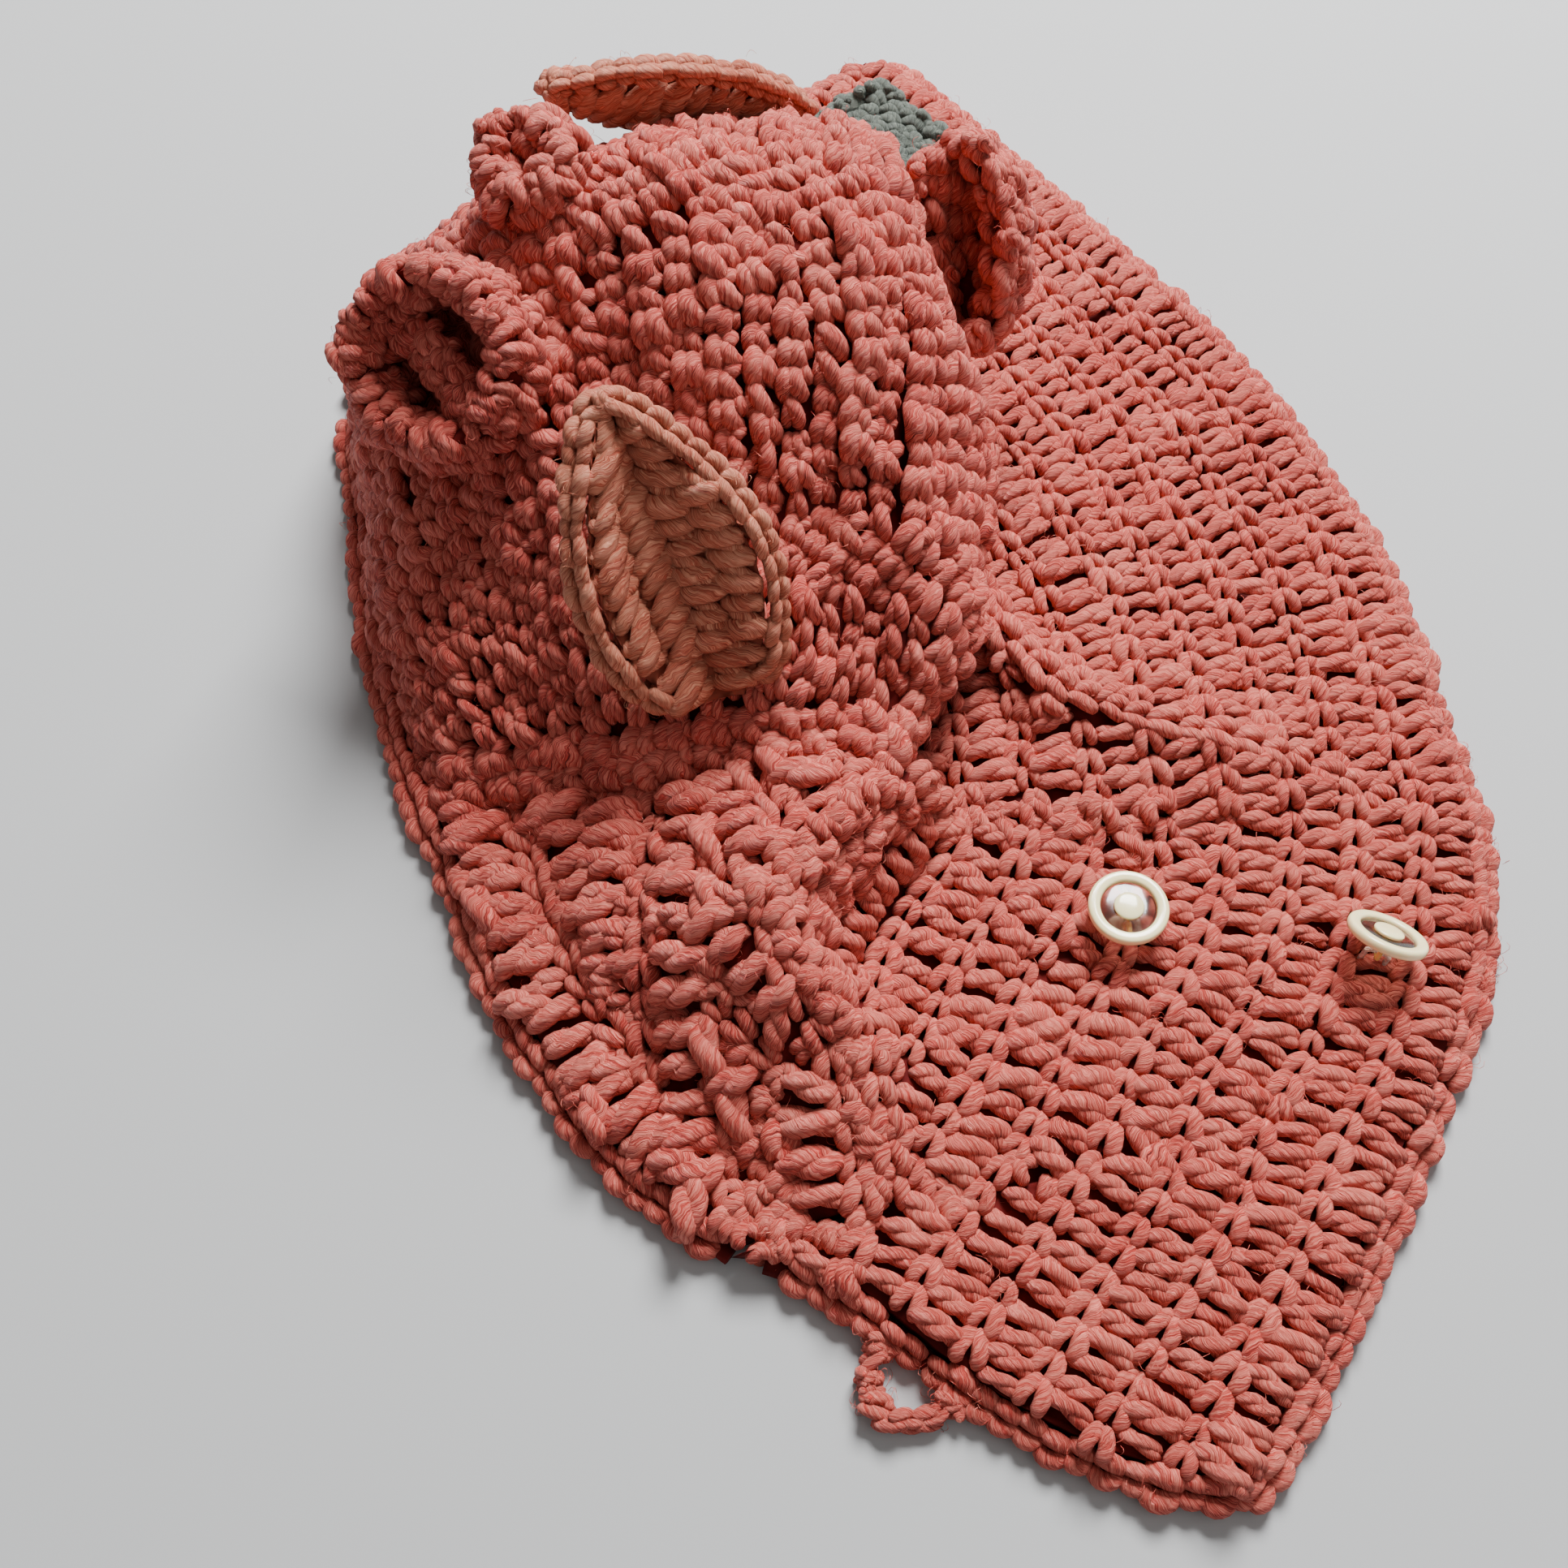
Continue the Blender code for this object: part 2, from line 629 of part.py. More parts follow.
def wrap(name, rings, material, collection):
    """A closed ring-shaped solid through cross-sections that follow each other round a loop."""
    bm = bmesh.new()
    made = [[bm.verts.new(p * MM) for p in ring] for ring in rings]
    count = len(rings[0])
    for k, low in enumerate(made):
        high = made[(k + 1) % len(made)]
        for i in range(count):
            j = (i + 1) % count
            bm.faces.new((low[i], low[j], high[j], high[i]))
    bmesh.ops.recalc_face_normals(bm, faces=bm.faces[:])
    mesh = bpy.data.meshes.new(name)
    bm.to_mesh(mesh)
    bm.free()
    mesh.shade_smooth()
    return add(name, mesh, material, collection)


def ear_frame(place, tip, face, stand):
    """A matrix at an ear's base: X across the ear, Y along it to its tip, Z out of its hollow face."""
    base, normal = surface_at(*drawn(place))
    y = Vector(tip).normalized()
    z = (Vector(face) - y * y.dot(Vector(face))).normalized()
    x = y.cross(z)
    turned_frame = Matrix((x, y, z)).transposed().to_4x4()
    turned_frame.translation = (base + normal * (stand + EAR_CLOTH / 2)) * MM
    return turned_frame


def ear_half_width(at):
    """Half the leaf's width at a share of its length."""
    return EAR_WIDTH / 2 * max(math.sin(math.pi * min(at * 0.93 + 0.07, 1.0) ** 0.88), 0.0) ** 0.8


def ear_point(at, side, lift=0.0):
    """A point of an ear's middle surface in its own frame: side -1 to 1 across."""
    half = max(ear_half_width(at) - EAR_CHAIN - SEAM * 2, 0.8)
    bend = -7.0 * at ** 3  # the tip leans to one side
    cup = EAR_CUP * abs(side) ** 2 * math.sin(math.pi * min(max(at, 0.0), 1.0)) ** 0.5
    return Vector((half * side + bend, at * EAR_LENGTH, cup + lift))


def build_ears(parts, peach):
    for name, place, tip, face, stand in (
        ("ear_near", NEAR_EAR, NEAR_EAR_TIP, NEAR_EAR_FACE, NEAR_EAR_STAND),
        ("ear_far", FAR_EAR, FAR_EAR_TIP, FAR_EAR_FACE, FAR_EAR_STAND),
    ):
        placed = ear_frame(place, tip, face, stand)
        leaf_end = 1.0 - EAR_CHAIN / EAR_LENGTH * 1.1
        rings = []
        for k in range(13):
            at = 0.04 + (leaf_end - 0.04) * k / 12
            top = [ear_point(at, -1 + i / 3, EAR_CLOTH / 2) for i in range(7)]
            low = [ear_point(at, 1 - i / 3, -EAR_CLOTH / 2) for i in range(7)]
            rings.append(top + low)
        leaf = loft(name, rings, peach, parts)
        leaf.matrix_world = placed
        edge = []
        for side, order in ((-1, range(1, 23)), (1, range(22, 0, -1))):
            for k in order:
                at = 0.04 + 0.96 * k / 23
                spot = ear_point(at, side)
                spot.x += side * (EAR_CHAIN / 2 + SEAM * 2)
                edge.append(spot)
        edge.insert(22, Vector((ear_point(1, 0).x, EAR_LENGTH + EAR_CHAIN * 0.1, 0)))
        rim = rope(name + "_edge", edge, EAR_CHAIN, peach, parts)
        rim.matrix_world = placed


# ---- buttons --------------------------------------------------------------------------------------------------------

def button_frame(place, stand, heading, tilt):
    """(frame of the thread tie, frame of the button): both at the thread that the shank hangs on."""
    x, y = drawn(place)
    spot = Matrix.Translation(Vector((x, y, CLOTH + stand)) * MM)
    turned_frame = spot @ Matrix.Rotation(math.radians(heading), 4, "Z")
    return turned_frame, turned_frame @ Matrix.Rotation(math.radians(-tilt), 4, "X")


def build_buttons(parts, cream, clear, thread):
    for number, place, stand, heading, tilt in (
        (1, NEAR_BUTTON, NEAR_STAND, 0.0, NEAR_TILT),
        (2, FAR_BUTTON, FAR_STAND, FAR_BUTTON_HEADING, FAR_TILT),
    ):
        tie_frame, frame = button_frame(place, stand, heading, tilt)
        under = SHANK_DROP
        top = under + DISC_THICK
        middle = (under + top) / 2
        inner, outer = BUTTON / 2 - BUTTON_RIM, BUTTON / 2
        half = RIM_THICK / 2
        rim = turned(f"button_{number}_rim", [
            (inner, middle + half * 0.7), (inner + 0.7, middle + half), (outer - 0.9, middle + half),
            (outer, middle + half * 0.35), (outer, middle - half * 0.35), (outer - 0.9, middle - half),
            (inner + 0.7, middle - half), (inner, middle - half * 0.7),
        ], 32, cream, parts)
        disc = turned(f"button_{number}_disc", [
            (0, top), (inner - GAP - 0.3, top), (inner - GAP, top - 0.3), (inner - GAP, under + 0.3),
            (inner - GAP - 0.3, under), (0, under),
        ], 32, clear, parts)
        low = top + GAP
        boss = turned(f"button_{number}_boss", [
            (0, low + BOSS_THICK), (BOSS * 0.26, low + BOSS_THICK * 0.92), (BOSS * 0.42, low + BOSS_THICK * 0.62),
            (BOSS * 0.5, low + BOSS_THICK * 0.2), (BOSS * 0.5, low), (0, low),
        ], 24, cream, parts)
        drop = THREAD / 2 + SHANK / 2 + 0.6
        arm = under - GAP - SHANK / 2
        reach = inner - 1.2
        shape = [(-reach, arm), (-reach * 0.6, arm - 0.1), (-drop * 1.5, arm * 0.72), (-drop * 1.05, 0.2),
                 (-drop * 0.72, -drop * 0.72), (0, -drop), (drop * 0.72, -drop * 0.72), (drop * 1.05, 0.2),
                 (drop * 1.5, arm * 0.72), (reach * 0.6, arm - 0.1), (reach, arm)]
        shank = rope(f"button_{number}_shank", [(0, y, z) for y, z in shape], SHANK, clear, parts)
        for piece in (rim, disc, boss, shank):
            piece.matrix_world = frame
        half = TIE_WIDTH / 2
        arch = [(-half, -stand + GAP), (-half, -1.4), (-half * 0.72, -0.35), (0, 0), (half * 0.72, -0.35),
                (half, -1.4), (half, -stand + GAP)]
        tie = rope(f"thread_tie_{number}", [(x, 0, z) for x, z in arch], THREAD, thread, parts)
        tie.matrix_world = tie_frame


def main():
    clear_scene()
    parts = make_collection("crocheted animal hood")
    coral = make_material("coral yarn")
    peach = make_material("peach yarn")
    grey = make_material("grey yarn")
    cream = make_material("cream plastic")
    clear = make_material("clear plastic")
    thread = make_material("white thread")
    build_front_panels(parts, coral)
    build_back_panel(parts, coral)
    build_grey_patch(parts, grey)
    build_edge_chains(parts, coral)
    build_button_loop(parts, coral)
    build_hood(parts, coral)
    build_brim(parts, coral)
    build_curl(parts, coral)
    build_horns(parts, coral)
    build_ears(parts, peach)
    build_buttons(parts, cream, clear, thread)


main()
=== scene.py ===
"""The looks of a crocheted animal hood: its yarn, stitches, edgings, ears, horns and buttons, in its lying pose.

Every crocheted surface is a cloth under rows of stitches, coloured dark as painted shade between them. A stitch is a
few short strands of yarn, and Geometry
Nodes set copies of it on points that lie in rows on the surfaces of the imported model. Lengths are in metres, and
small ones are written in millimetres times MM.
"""

import json
import math

import bmesh
import bpy
import numpy as np
from mathutils import Matrix, Vector
from mathutils.bvhtree import BVHTree
from mathutils.kdtree import KDTree


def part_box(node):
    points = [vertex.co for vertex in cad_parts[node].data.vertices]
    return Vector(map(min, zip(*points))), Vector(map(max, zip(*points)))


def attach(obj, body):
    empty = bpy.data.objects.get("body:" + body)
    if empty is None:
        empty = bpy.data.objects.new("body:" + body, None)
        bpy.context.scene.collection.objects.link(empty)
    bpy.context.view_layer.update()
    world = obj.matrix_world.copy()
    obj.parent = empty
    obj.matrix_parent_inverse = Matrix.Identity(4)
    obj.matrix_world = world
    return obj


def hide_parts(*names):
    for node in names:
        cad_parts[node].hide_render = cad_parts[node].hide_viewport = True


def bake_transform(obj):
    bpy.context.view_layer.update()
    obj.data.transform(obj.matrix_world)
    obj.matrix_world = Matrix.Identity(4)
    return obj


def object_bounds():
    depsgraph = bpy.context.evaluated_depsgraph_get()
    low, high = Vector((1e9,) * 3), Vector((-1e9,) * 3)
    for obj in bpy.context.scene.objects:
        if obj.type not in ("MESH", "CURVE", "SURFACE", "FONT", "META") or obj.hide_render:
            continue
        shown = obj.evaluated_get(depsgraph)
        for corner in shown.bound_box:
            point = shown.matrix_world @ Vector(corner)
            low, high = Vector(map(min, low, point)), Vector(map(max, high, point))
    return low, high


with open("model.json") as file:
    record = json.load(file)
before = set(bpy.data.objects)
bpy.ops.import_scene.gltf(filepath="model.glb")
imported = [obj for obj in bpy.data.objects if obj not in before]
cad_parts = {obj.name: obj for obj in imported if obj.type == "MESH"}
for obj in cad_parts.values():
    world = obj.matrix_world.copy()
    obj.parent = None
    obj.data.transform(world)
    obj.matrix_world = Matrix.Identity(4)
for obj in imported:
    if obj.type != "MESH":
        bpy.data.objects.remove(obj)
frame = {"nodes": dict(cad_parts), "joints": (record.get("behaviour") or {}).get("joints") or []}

CAD_BOX = [list(corner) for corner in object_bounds()]
MM = 0.001

# Yarn and stitches.
YARN = 4.6 * MM  # thickness of one strand
STRAND_SIDES = 7
STRAND_RINGS = 9
SINK = 2.4 * MM  # how far the cloth lies under the stitches' feet
ROW = 18.0 * MM  # one row of long stitches and its braid
BAR = 12.6 * MM
HOOD_ROW = 9.4 * MM
EDGE_STEP = 6.6 * MM
SEED = 7

nodes = frame["nodes"]
rng = np.random.default_rng(SEED)


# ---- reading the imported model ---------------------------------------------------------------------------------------

def cad_tree(*names):
    """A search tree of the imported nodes' faces."""
    points, faces = [], []
    for name in names:
        mesh = nodes[name].data
        first = len(points)
        points += [tuple(v.co) for v in mesh.vertices]
        faces += [tuple(first + k for k in face.vertices) for face in mesh.polygons]
    return BVHTree.FromPolygons(points, faces)


def drop(tree, x, y, top=0.3):
    """Height of the tree's highest face at a plan point, or None."""
    hit = tree.ray_cast(Vector((x, y, top)), Vector((0, 0, -1)))[0]
    return None if hit is None else hit.z


def last_hit(tree, start, ahead, reach=0.4):
    """The furthest point that a ray meets, or None."""
    found, spot = None, Vector(start)
    for _ in range(12):
        hit = tree.ray_cast(spot, ahead, reach)[0]
        if hit is None:
            break
        found = hit
        spot = hit + ahead * 0.0002
    return found


def smooth_rows(values, times, wrap=False):
    """Each point along a line averaged with its neighbours; the ends stay."""
    values = np.array(values, float)
    for _ in range(times):
        before, after = np.roll(values, 1, 0), np.roll(values, -1, 0)
        eased = (before + 2 * values + after) / 4
        if not wrap:
            eased[0], eased[-1] = values[0], values[-1]
        values = eased
    return values


def even_line(points, step):
    """The line walked at even steps."""
    points = np.asarray(points, float)
    long = np.concatenate([[0], np.cumsum(np.linalg.norm(np.diff(points, axis=0), axis=1))])
    count = max(int(round(long[-1] / step)), 1)
    at = np.linspace(0, long[-1], count + 1)
    return np.stack([np.interp(at, long, points[:, k]) for k in range(points.shape[1])], 1)


# ---- surfaces -------------------------------------------------------------------------------------------------------

class Surface:
    """A grid of points, read anywhere between them."""

    def __init__(self, grid):
        self.grid = np.asarray(grid, float)

    def at(self, rows, columns):
        grid = self.grid
        rows = np.clip(rows, 0, grid.shape[0] - 1.001)
        columns = np.clip(columns, 0, grid.shape[1] - 1.001)
        i, j = rows.astype(int), columns.astype(int)
        a, b = (rows - i)[:, None], (columns - j)[:, None]
        return ((1 - a) * (1 - b) * grid[i, j] + a * (1 - b) * grid[i + 1, j]
                + (1 - a) * b * grid[i, j + 1] + a * b * grid[i + 1, j + 1])

    def frames(self, rows, columns, flip=1.0):
        """(points, directions along rows, directions along columns, normals) at places on the grid."""
        rows, columns = np.asarray(rows, float), np.asarray(columns, float)
        here = self.at(rows, columns)
        along = self.at(rows + 0.8, columns) - self.at(rows - 0.8, columns)
        across = self.at(rows, columns + 0.8) - self.at(rows, columns - 0.8)
        along, across = unit(along), unit(across)
        return here, along, across, unit(np.cross(along, across)) * flip


def unit(vectors):
    return vectors / np.maximum(np.linalg.norm(vectors, axis=-1, keepdims=True), 1e-12)


def lumps(x, y, size, seed):
    """Soft random waves, about -1 to 1, at plan points."""
    local = np.random.default_rng(seed)
    total = 0.0
    for _ in range(6):
        turn, phase = local.uniform(0, 2 * math.pi, 2)
        wave = local.uniform(0.7, 1.5) * 2 * math.pi / size
        total = total + np.sin((x * math.cos(turn) + y * math.sin(turn)) * wave + phase)
    return total / 3.0


LOW, HIGH = (Vector(corner) for corner in CAD_BOX)
PANELS = ("left_panel", "front_flap", "front_corner", "back_panel")
PLAN_STEP = 4 * MM

# A soft fold in the front, from the face opening to the right edge: plan points and the fold's height.
FOLD = np.array([(0.024, 0.006, 13 * MM), (0.036, -0.018, 12 * MM), (0.052, -0.038, 9 * MM),
                 (0.080, -0.048, 6 * MM), (0.118, -0.055, 4 * MM), (0.150, -0.070, 2 * MM)])
FOLD_WIDTH = 9 * MM


def fold_height(x, y):
    line = even_line(FOLD, 3 * MM)
    away = np.hypot(x[:, None] - line[None, :, 0], y[:, None] - line[None, :, 1])
    return (line[None, :, 2] * np.exp(-(away / FOLD_WIDTH) ** 2)).max(1)


class Plan:
    """The cape's top face as heights over the floor, with its folds and waves."""

    def __init__(self):
        tree = cad_tree(*PANELS)
        self.xs = np.arange(LOW.x - 0.01, HIGH.x + 0.01, PLAN_STEP)
        self.ys = np.arange(LOW.y - 0.01, HIGH.y + 0.01, PLAN_STEP)
        heights = np.full((len(self.xs), len(self.ys)), np.nan)
        for i, x in enumerate(self.xs):
            for j, y in enumerate(self.ys):
                found = drop(tree, x, y)
                if found is not None:
                    heights[i, j] = found
        for _ in range(12):
            heights = self.spread(heights)
        heights = np.nan_to_num(heights, nan=9 * MM)
        for _ in range(3):
            heights = smooth_rows(smooth_rows(heights, 1).T, 1).T
        self.heights = heights

    @staticmethod
    def spread(heights):
        """Fill empty places with the mean of their neighbours."""
        stack = np.stack([np.roll(heights, s, a) for s in (1, -1) for a in (0, 1)])
        known = ~np.isnan(stack)
        mean = np.where(known, stack, 0).sum(0) / np.maximum(known.sum(0), 1)
        filled = np.where(np.isnan(heights) & known.any(0), mean, heights)
        return filled

    def height(self, x, y):
        a = np.clip((x - self.xs[0]) / PLAN_STEP, 0, len(self.xs) - 1.001)
        b = np.clip((y - self.ys[0]) / PLAN_STEP, 0, len(self.ys) - 1.001)
        i, j = a.astype(int), b.astype(int)
        a, b = a - i, b - j
        h = self.heights
        flat = ((1 - a) * (1 - b) * h[i, j] + a * (1 - b) * h[i + 1, j]
                + (1 - a) * b * h[i, j + 1] + a * b * h[i + 1, j + 1])
        return flat + fold_height(x, y) + lumps(x, y, 70 * MM, 3) * 1.1 * MM

    def frames(self, x, y, heading):
        """(points, row directions, cross directions, normals) at plan points, the rows along heading."""
        step = 3 * MM
        slope_x = (self.height(x + step, y) - self.height(x - step, y)) / (2 * step)
        slope_y = (self.height(x, y + step) - self.height(x, y - step)) / (2 * step)
        normal = unit(np.stack([-slope_x, -slope_y, np.ones_like(x)], 1))
        row = np.concatenate([heading, np.zeros((len(x), 1))], 1)
        row = unit(row - normal * (row * normal).sum(1, keepdims=True))
        return np.stack([x, y, self.height(x, y)], 1), row, np.cross(normal, row), normal


def outline(tree, side):
    """The cape's outline at the floor as a smooth plan line: right, front or back."""
    points = []
    level = 2.7 * MM
    if side == "right":
        for y in np.arange(HIGH.y - 0.006, LOW.y + 0.006, -0.003):
            hit = tree.ray_cast(Vector((0.4, y, level)), Vector((-1, 0, 0)))[0]
            if hit is not None:
                points.append((hit.x, hit.y))
    else:
        ahead = 1 if side == "front" else -1
        for x in np.arange(LOW.x + 0.0015, HIGH.x, 0.003):
            hit = tree.ray_cast(Vector((x, -0.4 * ahead, level)), Vector((0, ahead, 0)))[0]
            if hit is not None:
                points.append((hit.x, hit.y))
    return smooth_rows(even_line(points, 4 * MM), 6)


def moved_in(line, distance):
    """A plan line moved to its right-hand side."""
    ahead = unit(np.gradient(line, axis=0))
    distance = distance + lumps(line[:, 0], line[:, 1], 60 * MM, 23) * min(distance / 6, 1.6 * MM)
    return line + np.stack([ahead[:, 1], -ahead[:, 0]], 1) * np.reshape(distance, (-1, 1))


def extended(line, more):
    """A plan line drawn on straight past both of its ends."""
    steps = np.arange(4 * MM, more, 4 * MM)[:, None]
    first, last = unit(line[0] - line[4]), unit(line[-1] - line[-5])
    return np.concatenate([(line[0] + first * steps)[::-1], line, line[-1] + last * steps])


# ---- stitches -------------------------------------------------------------------------------------------------------

def smooth_curve(points, count):
    """count points on the Catmull-Rom curve through the points."""
    points = [Vector(p) for p in points]
    made = []
    for k in range(count):
        place = k / (count - 1) * (len(points) - 1)
        i = min(int(place), len(points) - 2)
        t = place - i
        a, b = points[max(i - 1, 0)], points[i]
        c, d = points[i + 1], points[min(i + 2, len(points) - 1)]
        made.append(b + 0.5 * t * (c - a + t * (2 * a - 5 * b + 4 * c - d + t * (3 * (b - c) + d - a))))
    return made


def add_strand(bm, uv, points, widest, narrow=0.72, flat=0.9):
    """A plump strand of yarn through points in millimetres: narrow ends, widest in its middle."""
    line = smooth_curve(points, STRAND_RINGS)
    length = sum((b - a).length for a, b in zip(line, line[1:]))
    rings = []
    for k, here in enumerate(line):
        ahead = (line[min(k + 1, STRAND_RINGS - 1)] - line[max(k - 1, 0)]).normalized()
        side = ahead.cross(Vector((0, 0, 1)))
        side = side.normalized() if side.length > 1e-4 else Vector((1, 0, 0))
        up = side.cross(ahead)
        share = k / (STRAND_RINGS - 1)
        radius = widest / 2 * (narrow + (1 - narrow) * math.sin(math.pi * share) ** 0.7)
        if k in (0, STRAND_RINGS - 1):
            radius *= 0.62
        ring = []
        for i in range(STRAND_SIDES):
            turn = 2 * math.pi * i / STRAND_SIDES
            ring.append(bm.verts.new((here + side * math.cos(turn) * radius
                                      + up * math.sin(turn) * radius * flat) * MM))
        rings.append(ring)
    for k, (low, high) in enumerate(zip(rings, rings[1:])):
        for i in range(STRAND_SIDES):
            j = (i + 1) % STRAND_SIDES
            face = bm.faces.new((low[i], low[j], high[j], high[i]))
            face.smooth = True
            for loop, (a, b) in zip(face.loops, ((k, i), (k, i + 1), (k + 1, i + 1), (k + 1, i))):
                loop[uv].uv = (a / (STRAND_RINGS - 1) * length * 0.1, b / STRAND_SIDES)
    for ring, order in ((rings[0], -1), (rings[-1], 1)):
        face = bm.faces.new(ring[::order])
        face.smooth = True
        for loop in face.loops:
            loop[uv].uv = (0 if order < 0 else length * 0.1, 0.5)


def make_stitch(name, strands):
    """A stitch from (points, widest) strands, X along its row, Y across it and Z out of the cloth."""
    bm = bmesh.new()
    uv = bm.loops.layers.uv.new("strand")
    for points, widest in strands:
        add_strand(bm, uv, points, widest)
    bmesh.ops.recalc_face_normals(bm, faces=bm.faces[:])
    mesh = bpy.data.meshes.new(name)
    bm.to_mesh(mesh)
    bm.free()
    return bpy.data.objects.new(name, mesh)


def twisted(length, offset, turns, rise, phase=0.0, lean=0.0):
    """One of two strands twisted round each other along Y, arched over the cloth."""
    points = []
    for k in range(7):
        share = k / 6
        turn = phase + turns * 2 * math.pi * share
        y = (share - 0.5) * length
        points.append((math.cos(turn) * offset + lean * y, y, rise * math.sin(math.pi * share) ** 0.6
                       + math.sin(turn) * offset * 0.6))
    return points


def stitch_set():
    """The stitches, drawn in millimetres for a 7.5 mm wide place."""
    half = math.pi
    return {
        "bar": make_stitch("bar", [
            (twisted(12.6, 1.25, 0.6, 2.4), 5.0),
            (twisted(12.6, 1.25, 0.6, 2.4, half), 5.0),
        ]),
        "bar_loose": make_stitch("bar_loose", [
            (twisted(12.8, 1.5, 0.95, 2.9, 0.6, 0.08), 5.0),
            (twisted(12.8, 1.4, 0.95, 2.6, 0.6 + half, 0.08), 4.6),
        ]),
        "vee": make_stitch("vee", [
            ([(-4.2, 0.6, -0.6), (-2.0, 1.7, 1.4), (1.4, 2.8, 1.9), (4.2, 2.5, 0.2)], 4.7),
            ([(-4.2, -0.6, -0.6), (-2.0, -1.7, 1.5), (1.4, -2.8, 1.7), (4.2, -2.5, 0.0)], 4.7),
        ]),
        "lump": make_stitch("lump", [
            ([(-4.0, 0.2, -1.2), (-2.2, 2.1, 1.2), (0.8, 2.5, 2.1), (3.4, 1.0, 0.9), (4.2, -0.8, -1.0)], 5.2),
            ([(-3.4, -4.2, -1.0), (-2.2, -2.2, 1.3), (0.0, -1.0, 2.0), (2.4, -0.4, 0.6)], 5.0),
            ([(3.9, -4.4, -1.0), (3.0, -2.8, 1.0), (1.4, -1.6, 1.1)], 4.6),
        ]),
        "lump_turned": make_stitch("lump_turned", [
            ([(-4.0, 1.2, -1.2), (-2.2, 2.5, 1.2), (1.0, 2.3, 2.1), (3.8, 1.5, -0.2)], 5.0),
            ([(-4.0, -3.0, -1.0), (-2.2, -1.4, 1.5), (0.6, -0.2, 2.3), (3.4, -1.2, 0.4)], 5.4),
            ([(0.2, -4.8, -1.0), (1.6, -3.2, 1.2), (3.8, -2.8, 0.0)], 4.4),
        ]),
        "rib": make_stitch("rib", [
            ([(-4.4, -1.6, -0.6), (-2.0, -1.7, 2.0), (1.8, 0.3, 2.5), (4.4, 1.9, -0.2)], 5.0),
            ([(-4.4, 2.1, -0.6), (-1.2, 2.0, 1.4), (2.4, 1.0, 1.2), (4.4, -1.2, -0.6)], 4.6),
        ]),
        "fuzz": make_fuzz(),
        "chain": make_stitch("chain", [
            ([(-4.2, 0.8, -0.4), (-2.0, 2.1, 1.4), (1.4, 2.6, 1.5), (4.2, 1.4, -0.2)], 4.6),
            ([(-4.2, -0.8, -0.4), (-2.0, -2.1, 1.3), (1.4, -2.5, 1.3), (4.2, -1.4, -0.2)], 4.6),
            ([(-2.8, 0.4, -2.2), (0.4, 1.6, -2.4), (3.0, -0.2, -2.2)], 4.2),
        ]),
    }


def make_fuzz():
    """A few loose fibres that stand off the yarn."""
    local = np.random.default_rng(31)
    bm = bmesh.new()
    uv = bm.loops.layers.uv.new("strand")
    for _ in range(7):
        x, y = local.uniform(-3.5, 3.5, 2)
        turn = local.uniform(0, 2 * math.pi)
        reach, rise = local.uniform(2.0, 4.5), local.uniform(1.2, 3.4)
        bend = local.uniform(-1.5, 1.5)
        ahead, aside = Vector((math.cos(turn), math.sin(turn), 0)), Vector((-math.sin(turn), math.cos(turn), 0))
        line = [Vector((x, y, 2.6)) + ahead * reach * t + aside * bend * t * t
                + Vector((0, 0, rise * math.sin(2.4 * t))) for t in (0, 0.25, 0.5, 0.75, 1.0)]
        rings = [[bm.verts.new((spot + aside * math.cos(2.1 * i) * 0.07 + Vector((0, 0, 0.07 * math.sin(2.1 * i))))
                               * MM) for i in range(3)] for spot in line]
        for low, high in zip(rings, rings[1:]):
            for i in range(3):
                face = bm.faces.new((low[i], low[(i + 1) % 3], high[(i + 1) % 3], high[i]))
                face.smooth = True
                for loop in face.loops:
                    loop[uv].uv = (0.5, 0.0)
        bm.faces.new(rings[0][::-1])
        bm.faces.new(rings[-1])
    bmesh.ops.recalc_face_normals(bm, faces=bm.faces[:])
    mesh = bpy.data.meshes.new("fuzz")
    bm.to_mesh(mesh)
    bm.free()
    return bpy.data.objects.new("fuzz", mesh)


def angles(row, across, normal):
    """XYZ turns that lay a stitch's X, Y and Z along three directions."""
    turn_y = np.arcsin(np.clip(-row[:, 2], -1, 1))
    turn_x = np.arctan2(across[:, 2], normal[:, 2])
    turn_z = np.arctan2(row[:, 1], row[:, 0])
    return np.stack([turn_x, turn_y, turn_z], 1)


